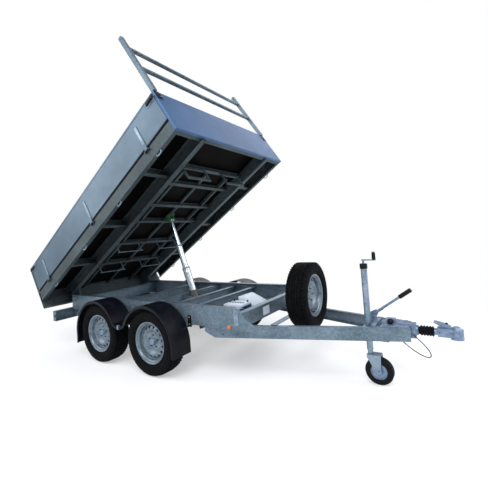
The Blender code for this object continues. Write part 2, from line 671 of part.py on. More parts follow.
def bed_frame(bed):
    """Build the welded frame under the floor, with its hinge brackets and rear posts."""
    under = FLOOR_TOP - FLOOR_THICK - SEAT
    front = BED_LENGTH - BOARD_THICK
    half = BED_HALF - 0.001
    pieces = [bed_channel((0, REAR_BEAM_DEPTH), (-half, half), (HINGE_W - 0.002, under), "Y", "+X")]
    pieces.append(bed_channel((front - 0.040, front), (-half, half), (0.001, under), "Y", "-X"))
    for side in SIDES.values():
        pieces.append(bed_channel((REAR_BEAM_DEPTH - 0.002, front - 0.001),
                                  across(side, BED_HALF - 0.045, BED_HALF), (0, under - 0.0005),
                                  "X", "+Y" if side < 0 else "-Y"))
        pieces.append(bed_channel((0.002, front - 0.002),
                                  across(side, MAIN_V, MAIN_V + MAIN_FLANGE), (MAIN_BOTTOM, under - 0.001),
                                  "X", "+Y" if side > 0 else "-Y"))
        for u in (0.720, 1.460, 2.260):
            pieces.append(bed_channel((u - 0.020, u + 0.020),
                                      across(side, MAIN_V + 0.002, BED_HALF - 0.002),
                                      (0.030, under - 0.002), "Y", "+X"))
        pieces.append(bed_block((0.002, 2.330), across(side, 0.365, 0.395), (0.070, under - 0.003)))
        x, z = bed_point(HINGE_U, HINGE_W)
        hole = arc((x, z), 0.0128, 360, 0, 17)[:-1]
        (left, top), (right, _) = bed_point(REAR_BEAM_DEPTH - 0.038, MAIN_BOTTOM + 0.002), \
            bed_point(HINGE_U + 0.060, 0)
        outline = arc((x, z), 0.034, 200, 360, 9) + [(right, top), (left, top), (left, z - 0.001)]
        pieces.append(flat([outline, hole], *across(side, MAIN_V + 0.0005, MAIN_V + 0.0085), "Y"))
        pieces.append(bed_block((0.0005, POST_LENGTH), across(side, BED_HALF - 0.040, BED_HALF - 0.0005),
                                (under - 0.002, BOARD_TOP)))
        for u in STRAPS_U:
            for end in ENDS.values():
                ear = sorted((u + end * (0.022 + SEAT), u + end * 0.031))
                pieces.append(bed_block(ear, across(side, BED_HALF - 0.002, DROP_HINGE_V + 0.006),
                                        (DROP_HINGE_W - 0.008, DROP_HINGE_W + 0.008)))
    for y in STRAPS_Y:
        for end in ENDS.values():
            ear = sorted((y + end * (0.022 + SEAT), y + end * 0.031))
            pieces.append(bed_block((-TAIL_HINGE - 0.006, 0.002), ear,
                                    (DROP_HINGE_W - 0.008, DROP_HINGE_W + 0.008)))
    for u in (0.620, 1.060, 1.500, 1.800, 2.150, 2.400):
        pieces.append(bed_channel((u - 0.020, u + 0.020), (-MAIN_V - 0.002, MAIN_V + 0.002),
                                  (0.0577, under - 0.004), "Y", "+X"))
    pieces.append(bed_block((0.002, 2.330), (-0.015, 0.015), (0.080, under - 0.005)))
    pad = 0.0757
    pieces.append(bed_block((EYE_U - 0.055, EYE_U + 0.055), (-0.055, 0.055), (pad, pad + 0.007)))
    part("bed_frame", pieces, GALVANISED, bed)
    plate = bed_block((EYE_U - 0.050, EYE_U + 0.050), (-0.050, 0.050), (pad - SEAT - 0.006, pad - SEAT))
    bracket = [plate]
    for side in SIDES.values():
        x, z = bed_point(EYE_U, EYE_W)
        top = bed_point(0, pad - 0.003)[1]
        cheek = arc((x, z), 0.026, 180, 360, 7) + [(x + 0.040, top), (x - 0.040, top)]
        bracket.append(flat([cheek], *across(side, 0.034, 0.042), "Y"))
        bracket.append(rod((x, side * 0.040, z), (x, side * 0.052, z), 0.014, 8))
    part("cylinder_bracket", bracket, GREEN, bed)


def ramp_carrier(bed):
    """Build the two frames that hang under the bed's front to hold the loading ramps."""
    for side_name, side in SIDES.items():
        (x0, z0), (x1, z1) = bed_point(2.402, -0.098), bed_point(2.418, 0.0577 - SEAT)
        y0, y1 = across(side, 0.140, 0.500)
        frame = [(y0, z0), (y1, z0), (y1, z1), (y0, z1)]
        opening = [(y0 + 0.025, z0 + 0.025), (y0 + 0.025, z1 - 0.025), (y1 - 0.025, z1 - 0.025),
                   (y1 - 0.025, z0 + 0.025)]
        part(f"ramp_holder_{side_name}", [flat([frame, opening], x0, x1 - SEAT, "X")],
             GALVANISED, bed)


def bed_floor(bed):
    """Build the floor board inside the posts and boards."""
    front = BED_LENGTH - BOARD_THICK - SEAT
    inner = BED_HALF - 0.041
    (x0, z0), (x1, z1) = bed_point(0.001, FLOOR_TOP - FLOOR_THICK), bed_point(front, FLOOR_TOP)
    y = BED_HALF - 0.0005
    back = x0 + POST_LENGTH
    outline = [(x0, -inner), (back, -inner), (back, -y), (x1, -y), (x1, y), (back, y),
               (back, inner), (x0, inner)]
    part("bed_floor", [flat([outline], z0, z1)], FLOOR_BLACK, bed)


def headboard(bed):
    """Build the fixed front board."""
    board = bed_block((BED_LENGTH - BOARD_THICK + SEAT, BED_LENGTH), (-BED_HALF, BED_HALF),
                      (0, BOARD_TOP))
    part("headboard", [board], SHEET, bed)


def ladder_rack(bed):
    """Build the rack on the headboard: two uprights and the rungs between them."""
    u = (BED_LENGTH - BOARD_THICK, BED_LENGTH - BOARD_THICK + LADDER_BAR)
    base = BOARD_TOP + SEAT
    pieces = []
    for side in SIDES.values():
        pieces.append(bed_block(u, across(side, BED_HALF - LADDER_BAR, BED_HALF),
                                (base, BOARD_TOP + LADDER_RISE)))
    reach = BED_HALF - 0.010
    for rise in LADDER_RUNGS:
        pieces.append(bed_block((u[0] + 0.005, u[1] - 0.005), (-reach, reach),
                                (BOARD_TOP + rise - 0.015, BOARD_TOP + rise + 0.015)))
    part("ladder_rack", pieces, GALVANISED, bed)


def drop_hinge(side, u, reach):
    """Return a strap down the outside of a side board to the knuckle on its hinge line."""
    x, z = bed_point(u, DROP_HINGE_W)
    face = BED_HALF
    outline = [(face - 0.002, bed_point(0, BOARD_BOTTOM + 0.010)[1]),
               (DROP_HINGE_V + 0.004, z), (DROP_HINGE_V + 0.008, z + 0.004),
               (face + 0.006, bed_point(0, BOARD_BOTTOM + 0.030)[1]),
               (face + 0.006, bed_point(0, reach)[1]), (face - 0.002, bed_point(0, reach)[1])]
    outline = [(side * a, b) for a, b in outline]
    strap = flat([outline], x - 0.016, x + 0.016, "X")
    knuckle = rod((x - 0.022, side * DROP_HINGE_V, z), (x + 0.022, side * DROP_HINGE_V, z), 0.0075, 12)
    return [strap, knuckle]


def side_boards(bed):
    """Build each drop side with its three strap hinges and two corner latches."""
    start = POST_LENGTH + RUNNING
    end = BED_LENGTH - BOARD_THICK - RUNNING
    for side_name, side in SIDES.items():
        pieces = [bed_block((start, end), across(side, BED_HALF - BOARD_THICK, BED_HALF),
                            (BOARD_BOTTOM, BOARD_TOP))]
        for u in STRAPS_U:
            pieces += drop_hinge(side, u, 0.370)
        for u in (start + 0.002, end - 0.112):
            pieces.append(bed_block((u, u + 0.110), across(side, BED_HALF - 0.002, BED_HALF + 0.018),
                                    (0.400, 0.425)))
        x = bed_point(start, 0)[0]
        z = bed_point(0, DROP_HINGE_W)[1]
        part(f"side_board_{side_name}", pieces, SHEET, bed, (x, side * DROP_HINGE_V, z))


def tailgate(bed):
    """Build the drop tailgate between the rear posts."""
    inner = BED_HALF - 0.040 - RUNNING
    pieces = [bed_block((0, BOARD_THICK), (-inner, inner), (BOARD_BOTTOM, BOARD_TOP))]
    x, z = bed_point(-TAIL_HINGE, DROP_HINGE_W)
    rear = bed_point(0, 0)[0]
    low = bed_point(0, BOARD_BOTTOM + 0.010)[1]
    high = bed_point(0, 0.370)[1]
    for y in STRAPS_Y:
        outline = [(rear + 0.002, low), (x - 0.004, z), (x - 0.008, z + 0.004),
                   (rear - 0.006, low + 0.020), (rear - 0.006, high), (rear + 0.002, high)]
        pieces.append(flat([outline], y - 0.016, y + 0.016, "Y"))
        pieces.append(rod((x, y - 0.022, z), (x, y + 0.022, z), 0.0075, 12))
    part("tailgate", pieces, SHEET, bed, (x, 0, z))


# Cylinder


def cylinder(bed):
    """Build the telescopic cylinder, its stages run out to the bed's tipped height."""
    tip = math.radians(TIP_DEG)
    x, z = bed_point(EYE_U, EYE_W)
    eye = Vector((HINGE_X + x * math.cos(tip) - z * math.sin(tip),
                  HINGE_Z + x * math.sin(tip) + z * math.cos(tip)))
    span = eye - Vector((TRUNNION_X, TRUNNION_Z))
    lean = math.atan2(-span.x, span.y)
    carrier = empty("cylinder_pivot", (TRUNNION_X, 0, TRUNNION_Z), (0, -lean, 0))
    bore = STAGE_RADII[1] + STAGE_LAP
    floor = -BARREL_BELOW
    barrel = turned([(0, floor + 0.010), (bore, floor + 0.010), (bore, BARREL_ABOVE),
                     (STAGE_RADII[0], BARREL_ABOVE), (STAGE_RADII[0], floor), (0, floor)],
                    20, (0, 0, 0))
    collar = turned([(0.056, 0.018), (0.056, -0.018), (0.048, -0.018), (0.048, 0.018)],
                    20, (0, 0, 0), closed=True)
    pins = [rod((0, side * 0.047, 0), (0, side * 0.072, 0), TRUNNION_RADIUS) for side in SIDES.values()]
    part("cylinder_barrel", [barrel, collar] + pins, PAINT, carrier)
    run = (span.length - EYE_CLOSED) / (len(STAGE_RADII) - 1)
    for number, radius in enumerate(STAGE_RADII[1:], 1):
        shift = number * (run + STAGE_STEP)
        low, high = floor + shift, BARREL_ABOVE + shift
        if number < len(STAGE_RADII) - 1:
            inner = STAGE_RADII[number + 1] + STAGE_LAP
            stage = [turned([(radius, high), (radius, low), (inner, low), (inner, high)], 20,
                            (0, 0, 0), closed=True)]
        else:
            stage = [rod((0, 0, low), (0, 0, span.length - 0.010), radius, 20),
                     rod((0, -EYE_HALF, span.length), (0, EYE_HALF, span.length), 0.026, 20)]
        part(f"cylinder_stage_{number}", stage, CHROME, carrier)


def breakaway_cable():
    """Build the breakaway cable that hangs in a loop below the overrun housing."""
    start, pull, swing, end = [Vector(point) for point in CABLE]
    steps = 14
    points = []
    for index in range(steps + 1):
        t = index / steps
        points.append(start * (1 - t) ** 3 + pull * 3 * t * (1 - t) ** 2
                      + swing * 3 * t * t * (1 - t) + end * t ** 3)
    part("breakaway_cable", [pipe(points, CABLE_RADIUS)], PLASTIC)


def build():
    """Build the whole trailer."""
    road_wheels()
    axles()
    rails()
    crossmembers()
    cylinder_cradle()
    front_panel()
    drawbar_beams()
    light_bar()
    mudguards()
    overrun()
    handbrake()
    jockey()
    spare_wheel()
    equipment()
    bed = empty("bed_hinge", (HINGE_X, 0, HINGE_Z), (0, -math.radians(TIP_DEG), 0))
    bed_frame(bed)
    ramp_carrier(bed)
    bed_floor(bed)
    headboard(bed)
    ladder_rack(bed)
    side_boards(bed)
    tailgate(bed)
    cylinder(bed)
    breakaway_cable()
    for obj in PARTS.objects:
        if obj.parent is None:
            obj.location.x -= ORIGIN_X


build()
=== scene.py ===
"""Looks of the tipper trailer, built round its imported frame.

Places are written in the trailer's own frame, in metres: x = 0 midway between the axles, +X forward,
-Y the near side and z = 0 the ground. Places on the bed are (u, v, w), level, as in the part's source.
"""
import logging
import math
from dataclasses import dataclass
from enum import Enum
from typing import Any, Optional, Sequence

import bmesh
import bpy
from mathutils import Matrix, Vector


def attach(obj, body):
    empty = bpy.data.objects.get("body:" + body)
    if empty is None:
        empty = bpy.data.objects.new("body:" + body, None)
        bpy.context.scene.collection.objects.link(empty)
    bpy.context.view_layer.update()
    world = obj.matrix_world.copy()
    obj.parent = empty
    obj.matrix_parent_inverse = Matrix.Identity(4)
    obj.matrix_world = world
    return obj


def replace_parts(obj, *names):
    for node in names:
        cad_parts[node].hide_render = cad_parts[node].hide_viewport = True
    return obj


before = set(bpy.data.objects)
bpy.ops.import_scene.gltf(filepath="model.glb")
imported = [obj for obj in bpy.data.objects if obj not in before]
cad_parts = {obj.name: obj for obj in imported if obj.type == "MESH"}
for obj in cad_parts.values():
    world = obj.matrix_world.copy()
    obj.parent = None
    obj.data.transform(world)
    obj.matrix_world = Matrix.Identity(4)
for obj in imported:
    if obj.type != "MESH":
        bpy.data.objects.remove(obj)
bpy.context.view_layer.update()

LOG = logging.getLogger("trailer")
Point = Sequence[float]
Outline = Sequence[tuple[float, float]]
Spot = tuple[Point, Point, float, float]

ORIGIN_X = 0.59492
HINGE = (-1.189, 0.0, 0.606)
HINGE_U, HINGE_W = 0.146, -0.096
TIP = math.radians(32.7)
BED_LENGTH, BED_HALF = 2.840, 0.939
TRUNNION = (0.265, 0.0, 0.540)
EYE = (1.578, 0.0, 0.028)

CHASSIS = Matrix.Translation((-ORIGIN_X, 0, 0))
BED = (CHASSIS @ Matrix.Translation(HINGE) @ Matrix.Rotation(-TIP, 4, "Y")
       @ Matrix.Translation((-HINGE_U, 0, -HINGE_W)))
# Stands a flat (x, z) outline up, with its thickness across the trailer
UPRIGHT = Matrix(((1, 0, 0), (0, 0, 1), (0, -1, 0))).transposed().to_4x4()


class Side(Enum):
    """A side of the trailer and the sign of its y."""

    NEAR = -1
    FAR = 1

    @property
    def label(self) -> str:
        """Return the side's name as the nodes spell it."""
        return self.name.lower()


def linear(code: str) -> tuple[float, float, float, float]:
    """Return a hex colour as linear values.

    Args:
        code: The colour, such as "#7a8c9c".

    Returns:
        Red, green, blue and an alpha of 1.
    """
    parts = [int(code[i:i + 2], 16) / 255 for i in (1, 3, 5)]
    red, green, blue = [c / 12.92 if c <= 0.04045 else ((c + 0.055) / 1.055) ** 2.4 for c in parts]
    return red, green, blue, 1.0


def facing(direction: Point) -> Matrix:
    """Return the turn that takes +Z to a direction.

    Args:
        direction: The direction to face.

    Returns:
        A four by four rotation.
    """
    return Vector((0, 0, 1)).rotation_difference(Vector(direction)).to_matrix().to_4x4()


def feed(socket: bpy.types.NodeSocket, value: Any) -> None:
    """Give a socket a value, or link another socket to it.

    Args:
        socket: The input to feed.
        value: The constant or the output socket.
    """
    if isinstance(value, bpy.types.NodeSocket):
        socket.id_data.links.new(value, socket)
    else:
        socket.default_value = value


def add_node(tree: bpy.types.NodeTree, kind: str, inputs: Optional[dict[Any, Any]] = None,
             **settings: Any) -> bpy.types.Node:
    """Add a node, set it up and link what feeds it.

    Args:
        tree: The tree that it joins.
        kind: The node's type.
        inputs: Values or sockets for its inputs, by name or place.
        settings: The node's own properties.

    Returns:
        The node.
    """
    node = tree.nodes.new(kind)
    for key, value in settings.items():
        setattr(node, key, value)
    for key, value in (inputs or {}).items():
        feed(node.inputs[key], value)
    return node


def link(name: str, data: Any) -> bpy.types.Object:
    """Put a new object into the scene.

    Args:
        name: The object's name.
        data: Its mesh, curve, camera or lamp.

    Returns:
        The object.
    """
    piece = bpy.data.objects.new(name, data)
    bpy.context.scene.collection.objects.link(piece)
    return piece


def store(name: str, data: Any, body: str) -> bpy.types.Object:
    """Make a mesh or curve a piece that moves with a body, and report it.

    Args:
        name: The piece's name.
        data: Its mesh or curve.
        body: The body it moves with.

    Returns:
        The piece.
    """
    piece = link(name, data)
    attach(piece, body)
    LOG.info("%s moves with %s", name, body)
    return piece


class Graph:
    """A material's node tree."""

    def __init__(self, name: str) -> None:
        """Start a material whose shader is a Principled BSDF.

        Args:
            name: The material's name.
        """
        self.material = bpy.data.materials.new(name)
        self.material.use_nodes = True
        self.tree = self.material.node_tree
        self.shader = self.tree.nodes["Principled BSDF"]
        self.place = self.add("ShaderNodeTexCoord").outputs["Object"]

    def add(self, kind: str, inputs: Optional[dict[Any, Any]] = None, **settings: Any) -> bpy.types.Node:
        """Add a node to the material's tree."""
        return add_node(self.tree, kind, inputs, **settings)

    def noise(self, size_mm: float, detail: float = 4.0, stretch: Point = (1, 1, 1)) -> bpy.types.NodeSocket:
        """Add a noise whose features are about a size.

        Args:
            size_mm: The size of a feature.
            detail: How many finer layers it has.
            stretch: How much faster it changes along each axis.

        Returns:
            The noise's value.
        """
        place = self.place
        if tuple(stretch) != (1, 1, 1):
            place = self.add("ShaderNodeMapping", {"Vector": place, "Scale": stretch}).outputs["Vector"]
        noise = self.add("ShaderNodeTexNoise", {"Vector": place, "Scale": 1000 / size_mm,
                                                "Detail": detail, "Roughness": 0.6})
        return noise.outputs["Fac"]

    def ramp(self, value: bpy.types.NodeSocket, stops: Sequence[tuple[float, str]]) -> bpy.types.NodeSocket:
        """Add a colour ramp.

        Args:
            value: What drives it.
            stops: Positions and hex colours, two or more.

        Returns:
            The ramp's colour.
        """
        ramp = self.add("ShaderNodeValToRGB", {"Fac": value})
        elements = ramp.color_ramp.elements
        while len(elements) < len(stops):
            elements.new(0.5)
        for element, (position, code) in zip(elements, stops):
            element.position = position
            element.color = linear(code)
        return ramp.outputs["Color"]

    def spread(self, value: bpy.types.NodeSocket, low: float, high: float,
               start: float = 0.3, end: float = 0.7) -> bpy.types.NodeSocket:
        """Add a map from a part of a value's range to a new range.

        Args:
            value: What is mapped.
            low: The result at the start.
            high: The result at the end.
            start: Where the value's range starts.
            end: Where the value's range ends.

        Returns:
            The mapped value.
        """
        node = self.add("ShaderNodeMapRange", {"Value": value, "From Min": start, "From Max": end,
                                               "To Min": low, "To Max": high})
        return node.outputs["Result"]

    def mix(self, factor: Any, first: Any, second: Any, blend: str = "MIX") -> bpy.types.NodeSocket:
        """Add a mix of two colours.

        Args:
            factor: The second colour's share.
            first: The first colour or its socket.
            second: The second colour or its socket.
            blend: How the two are blended.

        Returns:
            The mixed colour.
        """
        node = self.add("ShaderNodeMix", data_type="RGBA", blend_type=blend)
        feed(node.inputs[0], factor)
        feed(node.inputs[6], first)
        feed(node.inputs[7], second)
        return node.outputs[2]

    def bump(self, height: bpy.types.NodeSocket, depth_mm: float, strength: float = 1.0) -> None:
        """Drive the shader's normal by a height, over any bump it has.

        Args:
            height: The height from 0 to 1.
            depth_mm: What a height of 1 is.
            strength: How much of it shows.
        """
        node = self.add("ShaderNodeBump", {"Height": height, "Distance": depth_mm / 1000,
                                           "Strength": strength})
        if self.shader.inputs["Normal"].is_linked:
            feed(node.inputs["Normal"], self.shader.inputs["Normal"].links[0].from_socket)
        feed(self.shader.inputs["Normal"], node.outputs["Normal"])

    def shade(self, **values: Any) -> bpy.types.Material:
        """Feed the shader's sockets, named with underscores for spaces.

        Args:
            values: The sockets' constants or outputs.

        Returns:
            The material.
        """
        for key, value in values.items():
            feed(self.shader.inputs[key.replace("_", " ").replace("I O R", "IOR")], value)
        return self.material


@dataclass(frozen=True)
class Finish:
    """A surface finish that builds its material."""

    name: str
    base: str
    dark: str
    light: str
    roughness: float = 0.45
    metallic: float = 0.0
    size_mm: float = 60.0

    def material(self) -> bpy.types.Material:
        """Build the material.

        Returns:
            The material.
        """
        raise NotImplementedError


@dataclass(frozen=True)
class Spangled(Finish):
    """Hot-dip galvanised steel: zinc spangles, cloudy stains and a dull sheen."""

    spangle_mm: float = 16.0
    contrast: float = 0.55

    def material(self) -> bpy.types.Material:
        """Build the material.

        Returns:
            The material.
        """
        graph = Graph(self.name)
        wander = graph.noise(self.spangle_mm * 0.8, 2)
        bent = graph.add("ShaderNodeMixRGB", {"Fac": 0.012, "Color1": graph.place, "Color2": wander})
        cells = graph.add("ShaderNodeTexVoronoi", {"Vector": bent.outputs["Color"],
                                                   "Scale": 1000 / self.spangle_mm})
        grey = graph.add("ShaderNodeSeparateColor", {"Color": cells.outputs["Color"]}).outputs["Red"]
        clouds = graph.noise(self.size_mm * 4, 5)
        crystal = graph.ramp(grey, [(0.0, self.dark), (0.5, self.base), (1.0, self.light)])
        stain = graph.ramp(clouds, [(0.35, self.dark), (0.52, self.base), (0.7, self.light)])
        colour = graph.mix(self.contrast, stain, crystal)
        fine = graph.noise(3.0, 3)
        colour = graph.mix(0.35, colour, graph.ramp(fine, [(0.3, "#8c8c8c"), (0.7, "#ffffff")]), "MULTIPLY")
        graph.bump(grey, 0.08, 0.5)
        graph.bump(fine, 0.12, 0.4)
        rough = graph.spread(grey, self.roughness - 0.08, self.roughness + 0.12, 0.0, 1.0)
        return graph.shade(Base_Color=colour, Metallic=self.metallic, Roughness=rough)


@dataclass(frozen=True)
class Sheet(Finish):
    """Smooth zinc-coated sheet with faint rolling lines and handling marks."""

    lines: tuple[float, float, float] = (0.6, 1.0, 14.0)

    def material(self) -> bpy.types.Material:
        """Build the material.

        Returns:
            The material.
        """
        graph = Graph(self.name)
        rolled = graph.noise(self.size_mm, 5, self.lines)
        clouds = graph.noise(self.size_mm * 9, 3)
        marks = graph.noise(self.size_mm * 0.3, 6)
        colour = graph.ramp(clouds, [(0.35, self.dark), (0.55, self.base), (0.75, self.light)])
        lined = graph.ramp(rolled, [(0.32, "#c9c9c9"), (0.62, "#ffffff")])
        colour = graph.mix(0.45, colour, lined, "MULTIPLY")
        colour = graph.mix(graph.spread(marks, 0.0, 0.16, 0.6, 0.72), colour, linear(self.light))
        graph.bump(clouds, 1.2, 0.25)
        graph.bump(marks, 0.05, 0.4)
        rough = graph.spread(rolled, self.roughness - 0.06, self.roughness + 0.1)
        return graph.shade(Base_Color=colour, Metallic=self.metallic, Roughness=rough)


@dataclass(frozen=True)
class Plain(Finish):
    """Paint, plastic, rubber or plated metal with a fine grain and slight wear."""

    grain_mm: float = 1.5
    depth_mm: float = 0.05
    coat: float = 0.0
    dust: float = 0.0
    gloss: float = 0.5

    def material(self) -> bpy.types.Material:
        """Build the material.

        Returns:
            The material.
        """
        graph = Graph(self.name)
        clouds = graph.noise(self.size_mm, 5)
        grain = graph.noise(self.grain_mm, 3)
        colour = graph.ramp(clouds, [(0.3, self.dark), (0.52, self.base), (0.74, self.light)])
        if self.dust:
            share = graph.spread(graph.noise(self.size_mm * 0.5, 6), 0.0, self.dust, 0.45, 0.75)
            colour = graph.mix(share, colour, linear("#6e675c"))
        graph.bump(grain, self.depth_mm, 0.6)
        rough = graph.spread(clouds, self.roughness - 0.05, self.roughness + 0.08)
        return graph.shade(Base_Color=colour, Metallic=self.metallic, Roughness=rough,
                           Coat_Weight=self.coat, Specular_IOR_Level=self.gloss)


@dataclass(frozen=True)
class Ribbed(Finish):
    """A lamp or reflector lens with moulded ribs under a clear gloss."""

    rib_mm: float = 5.0

    def material(self) -> bpy.types.Material:
        """Build the material.

        Returns:
            The material.
        """
        graph = Graph(self.name)
        ribs = graph.add("ShaderNodeTexWave", {"Vector": graph.place, "Scale": 1000 / self.rib_mm / 6.283},
                         bands_direction="Y").outputs["Fac"]
        colour = graph.ramp(ribs, [(0.0, self.dark), (0.5, self.base), (1.0, self.light)])
        graph.bump(ribs, 0.6, 0.8)
        return graph.shade(Base_Color=colour, Metallic=self.metallic, Roughness=self.roughness,
                           Coat_Weight=1.0)


FINISHES: dict[str, Finish] = {f.name: f for f in (
    # Blue-grey hot-dip zinc: mottled on the rails, flat and darker under the bed, where the darker copy is
    # painted shade, clearer on small plated parts
    Spangled("galvanised", "#6f8290", "#566874", "#8b9caa", 0.48, 0.72, 70, 15, 0.5),
    Spangled("galvanised_dull", "#465257", "#353f43", "#5c696e", 0.54, 0.60, 90, 18, 0.45),
    Spangled("galvanised_bright", "#8396a6", "#6c7f90", "#a4b5c4", 0.40, 0.70, 50, 10, 0.4),
    # Zinc-coated sheet of the boards, and the headboard's copy of it, whose bluer colour is a painted sky
    # reflection, with its lines upright
    Sheet("board_sheet", "#5c6f7e", "#506371", "#6a7d8c", 0.46, 0.50, 60),
    Sheet("head_sheet", "#3f628c", "#375880", "#4c6f98", 0.42, 0.50, 60, (14.0, 0.6, 6.0)),
    # Near-black rubber without shine, and the smoother black plastics that catch a soft edge of light
    Plain("tyre_rubber", "#08090b", "#050607", "#0f1013", 0.80, 0.0, 45, 1.2, 0.18, dust=0.02, gloss=0.07),
    Plain("rubber", "#090a0c", "#060708", "#101115", 0.64, 0.0, 30, 1.0, 0.1, gloss=0.15),
    Plain("wheel_silver", "#66747f", "#53616c", "#7c8a95", 0.38, 0.55, 50, 0.8, 0.03, coat=0.2),
    # The guards' black carries a faint navy tint, which is a painted sheen
    Plain("guard_plastic", "#070911", "#05070d", "#0e121c", 0.42, 0.0, 90, 0.9, 0.09, dust=0.01, gloss=0.14),
    Plain("black_plastic", "#0a0b0e", "#060709", "#121317", 0.42, 0.0, 30, 0.7, 0.05, gloss=0.2),
    Plain("floor_film", "#070605", "#040303", "#0e0c0a", 0.50, 0.0, 120, 2.5, 0.12, gloss=0.03),
    # The cylinder's mirror-bright rods on a warm dark barrel, and the grey cast coupling
    Plain("chrome", "#c5ccd2", "#b4bcc3", "#d8dde1", 0.16, 1.0, 25, 0.5, 0.01),
    Plain("barrel_paint", "#453f3c", "#373230", "#57504c", 0.42, 0.25, 40, 1.5, 0.04, coat=0.15),
    Plain("zinc_cast", "#7688a0", "#5f7188", "#93a4ba", 0.44, 0.62, 24, 2.2, 0.18),
    # Colour accents: a deep blue battery, off-white covers, blank labels and a green bracket
    Plain("battery_blue", "#16234c", "#101a3a", "#20305e", 0.38, 0.0, 40, 0.9, 0.05),
    Plain("white_plastic", "#b9c3d2", "#aab5c5", "#cbd3df", 0.42, 0.0, 40, 0.9, 0.04),
    Plain("label", "#ccd2dc", "#c0c7d2", "#d9dee6", 0.50, 0.0, 30, 0.6, 0.02),
    Plain("green_paint", "#1e5a33", "#174828", "#2b6d42", 0.46, 0.15, 20, 1.2, 0.06, coat=0.1),
    # Clear-coated lenses whose ribs break up the light
    Ribbed("red_lens", "#9c1410", "#7a0c0a", "#b92018", 0.16),
    Ribbed("amber_lens", "#b85a20", "#a04a15", "#cc7032", 0.22),
    Ribbed("clear_lens", "#c9cdd2", "#b3b8be", "#dfe2e6", 0.14),
)}


class Paints:
    """The finishes' materials, each built once."""

    made: dict[str, bpy.types.Material] = {}

    @classmethod
    def get(cls, name: str) -> bpy.types.Material:
        """Return a finish's material.

        Args:
            name: The finish's name.

        Returns:
            The material.
        """
        if name not in cls.made:
            cls.made[name] = FINISHES[name].material()
        return cls.made[name]


